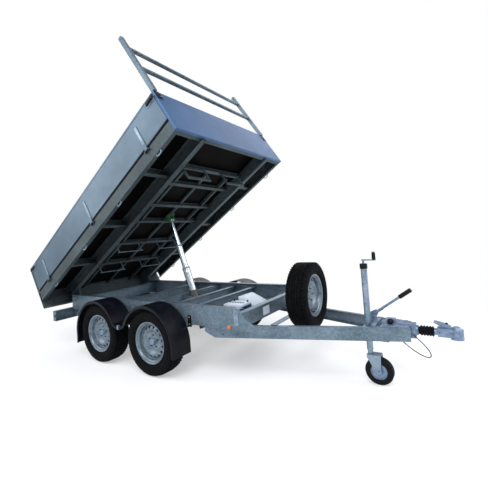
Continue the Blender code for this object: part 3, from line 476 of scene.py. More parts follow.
class Shape:
    """A mesh that is built up from bevelled boxes, rods, plates, tubes and turned profiles."""

    def __init__(self) -> None:
        """Start with no geometry."""
        self.mesh = bmesh.new()

    def merge(self, piece: bmesh.types.BMesh, matrix: Optional[Matrix] = None) -> "Shape":
        """Take in another mesh and free it.

        Args:
            piece: The mesh to take in.
            matrix: Where it goes.

        Returns:
            This shape.
        """
        if matrix is not None:
            piece.transform(matrix)
        bmesh.ops.recalc_face_normals(piece, faces=piece.faces)
        mesh = bpy.data.meshes.new("piece")
        piece.to_mesh(mesh)
        piece.free()
        self.mesh.from_mesh(mesh)
        bpy.data.meshes.remove(mesh)
        return self

    def box(self, corner: Point, opposite: Point, bevel: float = 0.0015, segments: int = 2) -> "Shape":
        """Add a box with rounded edges.

        Args:
            corner: One of its corners.
            opposite: The corner opposite that one.
            bevel: How far its edges are rounded.
            segments: How many faces round an edge.

        Returns:
            This shape.
        """
        low = [min(pair) for pair in zip(corner, opposite)]
        high = [max(pair) for pair in zip(corner, opposite)]
        piece = bmesh.new()
        bmesh.ops.create_cube(piece, size=1)
        bmesh.ops.scale(piece, vec=[b - a for a, b in zip(low, high)], verts=piece.verts)
        bmesh.ops.translate(piece, vec=[(a + b) / 2 for a, b in zip(low, high)], verts=piece.verts)
        if bevel:
            bmesh.ops.bevel(piece, geom=piece.edges[:], offset=bevel, segments=segments, profile=0.5,
                            affect="EDGES")
        return self.merge(piece)

    def rod(self, start: Point, end: Point, radius: float, end_radius: Optional[float] = None,
            sides: int = 24, bevel: float = 0.001) -> "Shape":
        """Add a round bar or a cone with softened rims.

        Args:
            start: The middle of its first end.
            end: The middle of its other end.
            radius: Its radius at the start.
            end_radius: Its radius at the end, if that differs.
            sides: How many sides it has.
            bevel: How far its rims are softened.

        Returns:
            This shape.
        """
        first, last = Vector(start), Vector(end)
        length = (last - first).length
        tip = radius if end_radius is None else end_radius
        soft = min(bevel, radius * 0.4, tip * 0.4, length * 0.3)
        profile = [(0, 0), (radius - soft, 0), (radius, soft), (tip, length - soft),
                   (tip - soft, length), (0, length)]
        return self.lathe(profile, first, last - first, sides)

    def lathe(self, profile: Outline, place: Point, direction: Point = (0, 0, 1), steps: int = 48,
              closed: bool = False) -> "Shape":
        """Add a profile of (radius, height) turned about an axis.

        Args:
            profile: The points, from one end of the axis to the other.
            place: Where the axis' zero is.
            direction: Which way the axis points.
            steps: How many steps a turn takes.
            closed: Whether the profile is a ring of its own.

        Returns:
            This shape.
        """
        piece = bmesh.new()
        angles = [2 * math.pi * i / steps for i in range(steps)]
        rings = []
        for radius, height in profile:
            if radius < 1e-6:
                rings.append([piece.verts.new((0, 0, height))])
            else:
                rings.append([piece.verts.new((radius * math.cos(a), radius * math.sin(a), height))
                              for a in angles])
        pairs = list(zip(rings, rings[1:])) + ([(rings[-1], rings[0])] if closed else [])
        for lower, upper in pairs:
            for i in range(steps):
                j = (i + 1) % steps
                corners = [lower[i % len(lower)], lower[j % len(lower)],
                           upper[j % len(upper)], upper[i % len(upper)]]
                corners = list(dict.fromkeys(corners))
                if len(corners) > 2:
                    piece.faces.new(corners)
        return self.merge(piece, Matrix.Translation(place) @ facing(direction))

    def plate(self, outline: Outline, side: float, other: float, bevel: float = 0.001) -> "Shape":
        """Add a flat outline made solid across the trailer.

        Args:
            outline: Its points, as (x, z).
            side: The y of one face.
            other: The y of the other face.
            bevel: How far its edges are softened.

        Returns:
            This shape.
        """
        piece = bmesh.new()
        ends = sorted((-side, -other))
        lower = [piece.verts.new((a, b, ends[0])) for a, b in outline]
        upper = [piece.verts.new((a, b, ends[1])) for a, b in outline]
        piece.faces.new(lower)
        piece.faces.new(upper)
        count = len(outline)
        for i in range(count):
            j = (i + 1) % count
            piece.faces.new([lower[i], lower[j], upper[j], upper[i]])
        bmesh.ops.recalc_face_normals(piece, faces=piece.faces)
        if bevel:
            bmesh.ops.bevel(piece, geom=piece.edges[:], offset=bevel, segments=2, profile=0.5,
                            affect="EDGES")
        return self.merge(piece, UPRIGHT)

    def tube(self, route: Sequence[Point], radius: float, sides: int = 12, steps: int = 6) -> "Shape":
        """Add a round tube along a smooth curve through a route.

        Args:
            route: The points it passes.
            radius: Its radius.
            sides: How many sides it has.
            steps: How many steps each stretch of the route takes.

        Returns:
            This shape.
        """
        places = smooth(route, steps)
        piece = bmesh.new()
        turn = facing(places[1] - places[0])
        rings = []
        for index, place in enumerate(places):
            ahead = places[min(index + 1, len(places) - 1)] - places[max(index - 1, 0)]
            current = turn.to_3x3() @ Vector((0, 0, 1))
            turn = current.rotation_difference(ahead.normalized()).to_matrix().to_4x4() @ turn
            rings.append([piece.verts.new(place + turn.to_3x3() @ Vector(
                (radius * math.cos(2 * math.pi * i / sides), radius * math.sin(2 * math.pi * i / sides), 0)))
                for i in range(sides)])
        for lower, upper in zip(rings, rings[1:]):
            for i in range(sides):
                j = (i + 1) % sides
                piece.faces.new([lower[i], lower[j], upper[j], upper[i]])
        piece.faces.new(rings[0])
        piece.faces.new(rings[-1])
        return self.merge(piece)

    def sweep(self, path: Outline, section: Outline) -> "Shape":
        """Add a section of (y, height off the path) carried along a path of (x, z).

        Args:
            path: The path's points.
            section: The section's points, as a ring.

        Returns:
            This shape.
        """
        piece = bmesh.new()
        rings = []
        for index, (x, z) in enumerate(path):
            x0, z0 = path[max(index - 1, 0)]
            x1, z1 = path[min(index + 1, len(path) - 1)]
            along = Vector((x1 - x0, z1 - z0)).normalized()
            off = Vector((-along.y, along.x))
            rings.append([piece.verts.new((x + off.x * h, y, z + off.y * h)) for y, h in section])
        count = len(section)
        for lower, upper in zip(rings, rings[1:]):
            for i in range(count):
                j = (i + 1) % count
                piece.faces.new([lower[i], lower[j], upper[j], upper[i]])
        piece.faces.new(rings[0])
        piece.faces.new(rings[-1])
        return self.merge(piece)

    def ride(self, name: str, finish: str, body: str, matrix: Matrix = CHASSIS,
             angle: float = 32.0) -> bpy.types.Object:
        """Store the shape as a piece that moves with a body.

        Args:
            name: The piece's name.
            finish: The name of its finish.
            body: The body it moves with.
            matrix: What takes the shape's frame to the row's frame.
            angle: Edges sharper than this stay sharp, in degrees.

        Returns:
            The piece.
        """
        self.mesh.transform(matrix)
        bmesh.ops.recalc_face_normals(self.mesh, faces=self.mesh.faces)
        data = bpy.data.meshes.new(name)
        self.mesh.to_mesh(data)
        self.mesh.free()
        data.materials.append(Paints.get(finish))
        data.shade_smooth()
        data.set_sharp_from_angle(angle=math.radians(angle))
        return store(name, data, body)


def smooth(route: Sequence[Point], steps: int) -> list[Vector]:
    """Return points on a smooth curve through a route.

    Args:
        route: The points it passes.
        steps: How many steps each stretch takes.

    Returns:
        The curve's points.
    """
    places = [Vector(place) for place in route]
    ends = [places[0] * 2 - places[1]] + places + [places[-1] * 2 - places[-2]]
    points = []
    for a, b, c, d in zip(ends, ends[1:], ends[2:], ends[3:]):
        for step in range(steps):
            t = step / steps
            points.append((b * 2 + (c - a) * t + (a * 2 - b * 5 + c * 4 - d) * t ** 2
                           + (b * 3 - a - c * 3 + d) * t ** 3) / 2)
    return points + [places[-1]]


def arc(centre: Sequence[float], radius: float, start: float, end: float,
        count: int) -> list[tuple[float, float]]:
    """Return points on an arc.

    Args:
        centre: Its middle.
        radius: Its radius.
        start: Where it starts, in degrees.
        end: Where it ends, in degrees.
        count: How many points it has.

    Returns:
        The points.
    """
    angles = [math.radians(start + (end - start) * i / (count - 1)) for i in range(count)]
    return [(centre[0] + radius * math.cos(a), centre[1] + radius * math.sin(a)) for a in angles]


class Repeat:
    """A Geometry Nodes tree that puts a copy of an object on each point of a mesh, all real in the end."""

    # What a point may say of its copy, with the attribute's type
    values = {"facing": "FLOAT_VECTOR", "size": "FLOAT", "spin": "FLOAT"}

    def __init__(self, name: str) -> None:
        """Build the tree.

        Args:
            name: The tree's name.
        """
        tree = bpy.data.node_groups.new(name, "GeometryNodeTree")
        face = tree.interface
        face.new_socket("Points", in_out="INPUT", socket_type="NodeSocketGeometry")
        self.what = face.new_socket("Copy", in_out="INPUT", socket_type="NodeSocketObject").identifier
        self.finish = face.new_socket("Finish", in_out="INPUT", socket_type="NodeSocketMaterial").identifier
        face.new_socket("Result", in_out="OUTPUT", socket_type="NodeSocketGeometry")
        enter = add_node(tree, "NodeGroupInput")
        leave = add_node(tree, "NodeGroupOutput")
        source = add_node(tree, "GeometryNodeObjectInfo", {"Object": enter.outputs["Copy"]})
        normal, size, spin = [
            add_node(tree, "GeometryNodeInputNamedAttribute", {"Name": key},
                     data_type=kind).outputs["Attribute"]
            for key, kind in self.values.items()]
        aim = add_node(tree, "FunctionNodeAlignRotationToVector", {"Vector": normal}, axis="Z")
        twist = add_node(tree, "FunctionNodeAxisAngleToRotation", {"Angle": spin})
        turn = add_node(tree, "FunctionNodeRotateRotation", {"Rotation": aim.outputs["Rotation"],
                                                             "Rotate By": twist.outputs["Rotation"]},
                        rotation_space="LOCAL")
        place = add_node(tree, "GeometryNodeInstanceOnPoints", {
            "Points": enter.outputs["Points"], "Instance": source.outputs["Geometry"],
            "Rotation": turn.outputs["Rotation"], "Scale": size})
        real = add_node(tree, "GeometryNodeRealizeInstances", {"Geometry": place.outputs["Instances"]})
        paint = add_node(tree, "GeometryNodeSetMaterial", {"Geometry": real.outputs["Geometry"],
                                                           "Material": enter.outputs["Finish"]})
        tree.links.new(paint.outputs["Geometry"], leave.inputs["Result"])
        self.tree = tree

    def make(self, name: str, copy: Shape, spots: Sequence[Spot], finish: str, body: str,
             matrix: Matrix = CHASSIS) -> None:
        """Put copies on spots and store them as one piece.

        Args:
            name: The piece's name.
            copy: The shape that is repeated, standing on z = 0 and facing +Z.
            spots: Place, direction, size and spin of each copy.
            finish: The name of its finish.
            body: The body it moves with.
            matrix: What takes the spots' frame to the row's frame.
        """
        data = bpy.data.meshes.new(name)
        data.from_pydata([matrix @ Vector(place) for place, *_ in spots], [], [])
        # Each attribute is filled before the next is added, because adding one can move the others.
        # Known fault: the direction isn't stored as "facing", so every copy stands upright.
        for key, column in (("size", [size for _, _, size, _ in spots]),
                            ("spin", [spin for _, _, _, spin in spots])):
            data.attributes.new(key, "FLOAT", "POINT").data.foreach_set("value", column)
        source_mesh = bpy.data.meshes.new("copy")
        copy.mesh.to_mesh(source_mesh)
        copy.mesh.free()
        source_mesh.shade_smooth()
        source_mesh.set_sharp_from_angle(angle=math.radians(35))
        source = link("copy", source_mesh)
        holder = link("holder", data)
        step = holder.modifiers.new("repeat", "NODES")
        step.node_group = self.tree
        step[self.what] = source
        step[self.finish] = Paints.get(finish)
        bpy.context.view_layer.update()
        graph = bpy.context.evaluated_depsgraph_get()
        result = bpy.data.meshes.new_from_object(holder.evaluated_get(graph))
        result.name = name
        for obj in (source, holder):
            bpy.data.objects.remove(obj, do_unlink=True)
        if not result.materials:
            result.materials.append(Paints.get(finish))
        store(name, result, body)


def bolt_head() -> Shape:
    """Return a hexagon head of 1 m across its corners' radius, on a washer.

    Returns:
        The shape, to be sized by each spot.
    """
    shape = Shape()
    shape.rod((0, 0, 0), (0, 0, 0.22), 1.35, sides=20, bevel=0.05)
    shape.rod((0, 0, 0.2), (0, 0, 0.95), 1.0, sides=6, bevel=0.12)
    return shape


def rivet_head() -> Shape:
    """Return a domed head of 1 m radius.

    Returns:
        The shape, to be sized by each spot.
    """
    return Shape().lathe([(1.0, 0), (0.97, 0.2), (0.8, 0.42), (0.5, 0.56), (0, 0.62)], (0, 0, 0), steps=14)


@dataclass
class Assembly:
    """A group of pieces that is built on the frame."""

    repeat: Repeat

    def build(self) -> None:
        """Make the assembly's own pieces."""

    def dress(self) -> None:
        """Give the assembly's CAD nodes their finishes."""
        for node, finish in self.finishes().items():
            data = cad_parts[node].data
            data.materials.clear()
            data.materials.append(Paints.get(finish))

    def finishes(self) -> dict[str, str]:
        """Return the finish of each CAD node of the assembly.

        Returns:
            Node names to finish names.
        """
        return {}


@dataclass
class Wheels(Assembly):
    """The road wheels and the spare, each with a treaded tyre and a pierced steel disc."""

    radius: float = 0.304
    half_base: float = 0.396
    wheel_y: float = 0.7405
    spare: Point = (1.609, 0.070, 0.640)
    holes: int = 16
    hole: float = 0.0118
    hole_circle: float = 0.1370
    bolts: int = 5
    bolt_circle: float = 0.056
    lugs: int = 58
    lug_circle: float = 0.2935
    lug_out: float = 0.0665

    def tyre(self, place: Point, direction: Point) -> Shape:
        """Return a tyre with its ribs and shoulders.

        Args:
            place: Its middle.
            direction: Its axle.

        Returns:
            The shape.
        """
        wall = [(0.1792, 0.0692), (0.1966, 0.0698), (0.1990, 0.0800), (0.2060, 0.0870), (0.2150, 0.0915),
                (0.2165, 0.0927), (0.2195, 0.0930), (0.2210, 0.0922), (0.2330, 0.0952), (0.2450, 0.0968),
                (0.2465, 0.0974), (0.2545, 0.0975), (0.2560, 0.0967), (0.2680, 0.0958), (0.2780, 0.0935),
                (0.2870, 0.0895), (0.2925, 0.0845), (0.2958, 0.0780), (0.2968, 0.0560), (0.2972, 0.0500),
                (0.3030, 0.0495), (0.3038, 0.0480), (0.3038, 0.0300), (0.3030, 0.0288), (0.2960, 0.0282),
                (0.2960, 0.0222), (0.3032, 0.0216), (0.3040, 0.0202), (0.3040, 0.0042), (0.3030, 0.0030)]
        profile = [(r, -h) for r, h in wall] + [(0.2962, -0.0026), (0.2962, 0.0026)]
        profile += [(r, h) for r, h in reversed(wall)]
        return Shape().lathe(profile, place, direction, 88, closed=True)

    def tread(self, place: Vector, direction: Vector) -> list[Spot]:
        """Return the spots of the shoulder lugs.

        Args:
            place: The tyre's middle.
            direction: Its axle.

        Returns:
            The spots.
        """
        turn = facing(direction).to_3x3()
        spots = []
        for index in range(self.lugs):
            angle = 2 * math.pi * index / self.lugs
            for sign, shift in ((-1, 0.0), (1, 0.5)):
                a = angle + shift * 2 * math.pi / self.lugs
                out = Vector((math.cos(a), math.sin(a), 0))
                spot = out * self.lug_circle + Vector((0, 0, sign * self.lug_out))
                spots.append((place + turn @ spot, turn @ out, 1.0, 0.0))
        return spots

    @staticmethod
    def lug(direction: Vector) -> Shape:
        """Return one shoulder lug, standing on z = 0.

        Args:
            direction: The axle that its length lies along.

        Returns:
            The shape.
        """
        if abs(direction.y) > 0.5:
            return Shape().box((-0.0118, -0.0160, 0), (0.0118, 0.0160, 0.0092), 0.0018, 2)
        return Shape().box((-0.0160, -0.0118, 0), (0.0160, 0.0118, 0.0092), 0.0018, 2)

    def disc(self, name: str, body: str, place: Point, direction: Point, drum: bool) -> bpy.types.Object:
        """Make a pierced disc wheel.

        Args:
            name: The piece's name.
            body: The body it moves with.
            place: The wheel's middle.
            direction: Which way its face looks.
            drum: Whether a brake drum fills its back.

        Returns:
            The piece.
        """
        face = [(0, 0.0300), (0.0200, 0.0300), (0.0290, 0.0292), (0.0320, 0.0262), (0.0332, 0.0240),
                (0.0800, 0.0238), (0.0880, 0.0250), (0.0960, 0.0300), (0.1060, 0.0372), (0.1150, 0.0416),
                (0.1230, 0.0436), (0.1320, 0.0428), (0.1420, 0.0378), (0.1500, 0.0318), (0.1545, 0.0296),
                (0.1585, 0.0312), (0.1612, 0.0400), (0.1630, 0.0500), (0.1650, 0.0560), (0.1720, 0.0600),
                (0.1752, 0.0640), (0.1770, 0.0708), (0.1812, 0.0748), (0.1872, 0.0766), (0.1912, 0.0778),
                (0.1936, 0.0772), (0.1938, 0.0745), (0.1925, 0.0712)]
        well = [(0.1775, 0.0690), (0.1768, 0.0500), (0.1660, 0.0440), (0.1650, -0.0200), (0.1768, -0.0350),
                (0.1775, -0.0690), (0.1925, -0.0712), (0.1938, -0.0745), (0.1936, -0.0775),
                (0.1872, -0.0766), (0.1750, -0.0690), (0.1730, -0.0400), (0.1600, -0.0200),
                (0.1520, -0.0140), (0.1500, 0.0180), (0.1420, 0.0320), (0.1230, 0.0370), (0.1180, 0.0350)]
        back = [(0.1180, -0.0460), (0.1120, -0.0480), (0.0203, -0.0480), (0.0203, -0.0040), (0, -0.0040)] \
            if drum else [(0.0880, 0.0170), (0, 0.0160)]
        shape = Shape().lathe(face + well + back, (0, 0, 0), steps=96)
        cutters = Shape()
        for index in range(self.holes):
            angle = 2 * math.pi * (index + 0.5) / self.holes
            x, y = self.hole_circle * math.cos(angle), self.hole_circle * math.sin(angle)
            cutters.rod((x, y, 0.019), (x, y, 0.060), self.hole, sides=18, bevel=0)
        mesh = self.cut(shape, cutters)
        mesh.transform(CHASSIS @ Matrix.Translation(place) @ facing(direction))
        mesh.materials.clear()
        mesh.materials.append(Paints.get("wheel_silver"))
        mesh.shade_smooth()
        mesh.set_sharp_from_angle(angle=math.radians(38))
        return store(name, mesh, body)

    @staticmethod
    def cut(shape: Shape, cutters: Shape) -> bpy.types.Mesh:
        """Cut one shape from another.

        Args:
            shape: What is cut.
            cutters: What is taken away.

        Returns:
            The cut mesh.
        """
        objects = []
        for piece in (shape, cutters):
            mesh = bpy.data.meshes.new("piece")
            piece.mesh.to_mesh(mesh)
            piece.mesh.free()
            objects.append(link("piece", mesh))
        step = objects[0].modifiers.new("cut", "BOOLEAN")
        step.operation = "DIFFERENCE"
        step.object = objects[1]
        bpy.context.view_layer.update()
        graph = bpy.context.evaluated_depsgraph_get()
        mesh = bpy.data.meshes.new_from_object(objects[0].evaluated_get(graph))
        for obj in objects:
            bpy.data.objects.remove(obj, do_unlink=True)
        return mesh

    def hub(self, name: str, body: str, place: Vector, direction: Vector, cap: bool) -> None:
        """Make the wheel bolts, the hub's cap and the valve, and a black ring behind the disc's holes that is
        painted shade.

        Args:
            name: The wheel's name.
            body: The body they move with.
            place: The wheel's middle.
            direction: Which way its face looks.
            cap: Whether the hub has a grease cap.
        """
        turn = facing(direction).to_3x3()
        spots = []
        for index in range(self.bolts):
            angle = 2 * math.pi * index / self.bolts + 0.3
            spot = Vector((self.bolt_circle * math.cos(angle), self.bolt_circle * math.sin(angle), 0.0236))
            spots.append((place + turn @ spot, direction, 0.0098, angle))
        # The wheel bolts use the same darker zinc copy that stands for painted shade under the bed
        self.repeat.make(f"bolts_{name}", bolt_head(), spots, "galvanised_dull", body)
        middle = Shape()
        if cap:
            middle.lathe([(0, 0.020), (0.0300, 0.020), (0.0296, 0.0420), (0.0270, 0.0465), (0.0180, 0.0492),
                          (0, 0.0500)], place, direction, 40)
        middle.rod(place + turn @ Vector((0.158, 0.0, 0.030)), place + turn @ Vector((0.150, 0.0, 0.060)),
                   0.0042, 0.0034, 12)
        middle.ride(f"hub_{name}", "zinc_cast" if cap else "black_plastic", body)
        # A black ring behind the holes darkens them: painted shade
        back = Shape().lathe([(0.1225, 0.0365), (0.1515, 0.0285), (0.1500, 0.0190), (0.1225, 0.0190)], place,
                             direction, 64, closed=True)
        back.ride(f"shade_{name}", "black_plastic", body)

    def build(self) -> None:
        """Make the wheels."""
        wheels = [("spare", "chassis", Vector(self.spare), Vector((1, 0, 0)), "spare_tyre", "spare_rim")]
        for end, sign in (("front", 1), ("rear", -1)):
            for side in Side:
                label = f"{end}_{side.label}"
                place = Vector((sign * self.half_base, side.value * self.wheel_y, self.radius))
                wheels.append((label, f"wheel_{label}", place, Vector((0, side.value, 0)),
                               f"tyre_{label}", f"rim_{label}"))
        for label, body, place, direction, tyre_node, rim_node in wheels:
            tyre = self.tyre(place, direction).ride(f"treaded_{label}", "tyre_rubber", body)
            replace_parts(tyre, tyre_node)
            self.repeat.make(f"lugs_{label}", self.lug(direction), self.tread(place, direction),
                             "tyre_rubber", body)
            disc = self.disc(f"disc_{label}", body, place, direction, label != "spare")
            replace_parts(disc, rim_node)
            self.hub(label, body, place, direction, label != "spare")

    def finishes(self) -> dict[str, str]:
        """Return the axles' finishes.

        Returns:
            Node names to finish names.
        """
        return {"axle_front": "galvanised", "axle_rear": "galvanised"}


@dataclass
class Mudguards(Assembly):
    """The black guards over both wheels of a side, with their stays and brackets."""

    radius: float = 0.345
    valley: float = 0.415
    inner: float = 0.640
    outer: float = 0.866

    def path(self) -> Outline:
        """Return the guard's line over the wheels.

        Returns:
            The points as (x, z), from the front to the rear.
        """
        rise = math.degrees(math.asin((self.valley - 0.304) / self.radius))
        front = arc((0.396, 0.304), self.radius, 4, 180 - rise - 5, 30)
        dip = arc((0.0, self.valley - 0.018), 0.030, 60, 120, 5)
        rear = arc((-0.396, 0.304), self.radius, rise + 5, 188, 30)
        return ([(front[0][0] + 0.003, 0.216), (front[0][0] + 0.001, 0.262)] + front
                + [(x, z - 0.0085) for x, z in dip] + rear
                + [(rear[-1][0] - 0.003, 0.216), (rear[-1][0] - 0.005, 0.176)])

    def build(self) -> None:
        """Make the guards."""
        for side in Side:
            sign = side.value
            inner, outer = sign * self.inner, sign * self.outer
            section = [(inner, 0.0005), (inner, 0.0048), (outer - sign * 0.006, 0.0048),
                       (outer - sign * 0.0018, 0.0036), (outer, 0.0006), (outer, -0.0200),
                       (outer - sign * 0.0012, -0.0215), (outer - sign * 0.0032, -0.0215),
                       (outer - sign * 0.0040, -0.0200), (outer - sign * 0.0046, 0.0005)]
            guard = Shape().sweep(self.path()[::-1], section)
            foot, top = self.valley + 0.004, self.valley + 0.084
            for x in (-0.030, 0.024):
                guard.box((x, sign * 0.6275, foot), (x + 0.006, sign * 0.675, top))
            guard.box((-0.030, sign * 0.6275, foot), (0.030, sign * 0.634, top))
            piece = guard.ride(f"guard_{side.label}", "guard_plastic", "chassis")
            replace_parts(piece, f"mudguard_{side.label}")
            stay = Shape()
            stay.tube([(0.742, sign * 0.628, 0.470), (0.736, sign * 0.655, 0.452),
                       (0.716, sign * 0.740, 0.425), (0.706, sign * 0.822, 0.412)], 0.0065)
            stay.box((0.722, sign * 0.6272, 0.440), (0.764, sign * 0.632, 0.545), 0.001)
            stay.box((0.690, sign * 0.800, 0.398), (0.722, sign * 0.846, 0.412), 0.002)
            stay.ride(f"stay_{side.label}", "black_plastic", "chassis")
            bolts = [((0.743, sign * 0.632, z), (0, sign, 0), 0.0075, 0.2) for z in (0.462, 0.525)]
            bolts += [((x, sign * 0.634, self.valley + 0.044), (0, sign, 0), 0.007, 0.1)
                      for x in (-0.015, 0.015)]
            self.repeat.make(f"stay_bolts_{side.label}", bolt_head(), bolts, "galvanised_bright", "chassis")
            clip = Shape().box((-0.012, sign * 0.846, self.valley - 0.016),
                               (0.012, sign * 0.868, self.valley + 0.024))
            clip.ride(f"guard_clip_{side.label}", "galvanised_bright", "chassis")


@dataclass
class Chassis(Assembly):
    """The rails with their brackets, reflectors and bolts, the cross members and the light bar."""

    outer: float = 0.627
    bar_half: float = 0.8295

    def build(self) -> None:
        """Make the chassis' fittings."""
        bolts, rivets = [], []
        for side in Side:
            sign = side.value
            face = sign * self.outer
            skin = face + sign * 0.0035
            trim = Shape().box((1.240, face, 0.500), (1.284, skin, 0.634), 0.001)
            trim.box((1.240, face - sign * 0.055, 0.6362), (1.284, skin, 0.6395), 0.001)
            trim.ride(f"rail_bracket_{side.label}", "galvanised_bright", "chassis")
            bolts += [((1.262, skin, z), (0, sign, 0), 0.0075, 0.4) for z in (0.530, 0.600)]
            lens = Shape().lathe([(0, 0), (0.018, 0), (0.018, 0.004), (0.016, 0.0060), (0, 0.0068)],
                                 (1.185, face + sign * 0.0003, 0.482), (0, sign, 0), 40)
            piece = lens.ride(f"reflector_lens_{side.label}", "amber_lens", "chassis")
            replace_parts(piece, f"reflector_{side.label}")
            bolts += [((x, face, z), (0, sign, 0), 0.0085, 0.3 * x)
                      for x, z in ((0.610, 0.478), (0.470, 0.478), (-0.200, 0.478), (-0.330, 0.478))]
            rivets += [((x, face, 0.6235), (0, sign, 0), 0.0040, 0.0) for x in
                       (-0.900, -0.600, -0.300, 0.300, 0.600, 1.200)]
        self.repeat.make("rail_bolts", bolt_head(), bolts, "galvanised_bright", "chassis")
        self.repeat.make("rail_rivets", rivet_head(), rivets, "galvanised_bright", "chassis")
        self.hinges()
        self.lights()

    def hinges(self) -> None:
        """Make the nuts and washers on the bed's hinge pins."""
        nuts = Shape()
        for side in Side:
            start = side.value * (self.outer + 0.0100)
            nuts.rod((HINGE[0], start, HINGE[2]), (HINGE[0], start + side.value * 0.004, HINGE[2]), 0.0135)
            nuts.rod((HINGE[0], side.value * self.outer, HINGE[2]),
                     (HINGE[0], side.value * (self.outer + 0.003), HINGE[2]), 0.028)
        nuts.ride("hinge_washers", "galvanised_bright", "chassis")

    def lights(self) -> None:
        """Make the lamps' lenses, the light bar and its ends."""
        for side in Side:
            sign = side.value
            back = -1.3103
            for name, a, b, finish in (("stop", 0.700, 0.812, "red_lens"),
                                       ("turn", 0.642, 0.697, "amber_lens"),
                                       ("reverse", 0.603, 0.639, "clear_lens")):
                lamp = Shape().box((back - 0.0385, sign * a, 0.369), (back - 0.030, sign * b, 0.461),
                                   0.003, 3)
                lamp.ride(f"lamp_{name}_{side.label}", finish, "chassis")
            plate = Shape().box((-1.3105, sign * 0.826, 0.355), (-1.250, sign * 0.834, 0.475), 0.002)
            plate.ride(f"bar_end_{side.label}", "galvanised", "chassis")
            knob = Shape().rod((-1.270, sign * 0.832, 0.415), (-1.270, sign * 0.8365, 0.415), 0.016)
            knob.ride(f"bar_plug_{side.label}", "black_plastic", "chassis")
        bar = Shape()
        bar.box((-1.310, -self.bar_half, 0.355), (-1.306, self.bar_half, 0.475), 0.001)
        for z in (0.355, 0.471):
            bar.box((-1.3095, -self.bar_half, z), (-1.250, self.bar_half, z + 0.004), 0.001)
        outline = [(-1.308, 0.357), (-1.246, 0.357), (-1.150, 0.4605), (-1.235, 0.4605), (-1.308, 0.457)]
        for side in Side:
            bar.plate(outline, side.value * 0.570, side.value * 0.578)
        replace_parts(bar.ride("light_beam", "galvanised", "chassis"), "light_bar")

    def finishes(self) -> dict[str, str]:
        """Return the chassis' finishes.

        Returns:
            Node names to finish names.
        """
        steel = ("rail_near", "rail_far", "crossmember_rear", "crossmember_middle", "crossmember_front",
                 "cylinder_cradle", "front_panel", "brake_rod", "equipment_tray",
                 "drawbar_near", "drawbar_far", "spare_carrier")
        lamps = {f"lamp_{side.label}": "black_plastic" for side in Side}
        return {**{node: "galvanised" for node in steel}, **lamps}


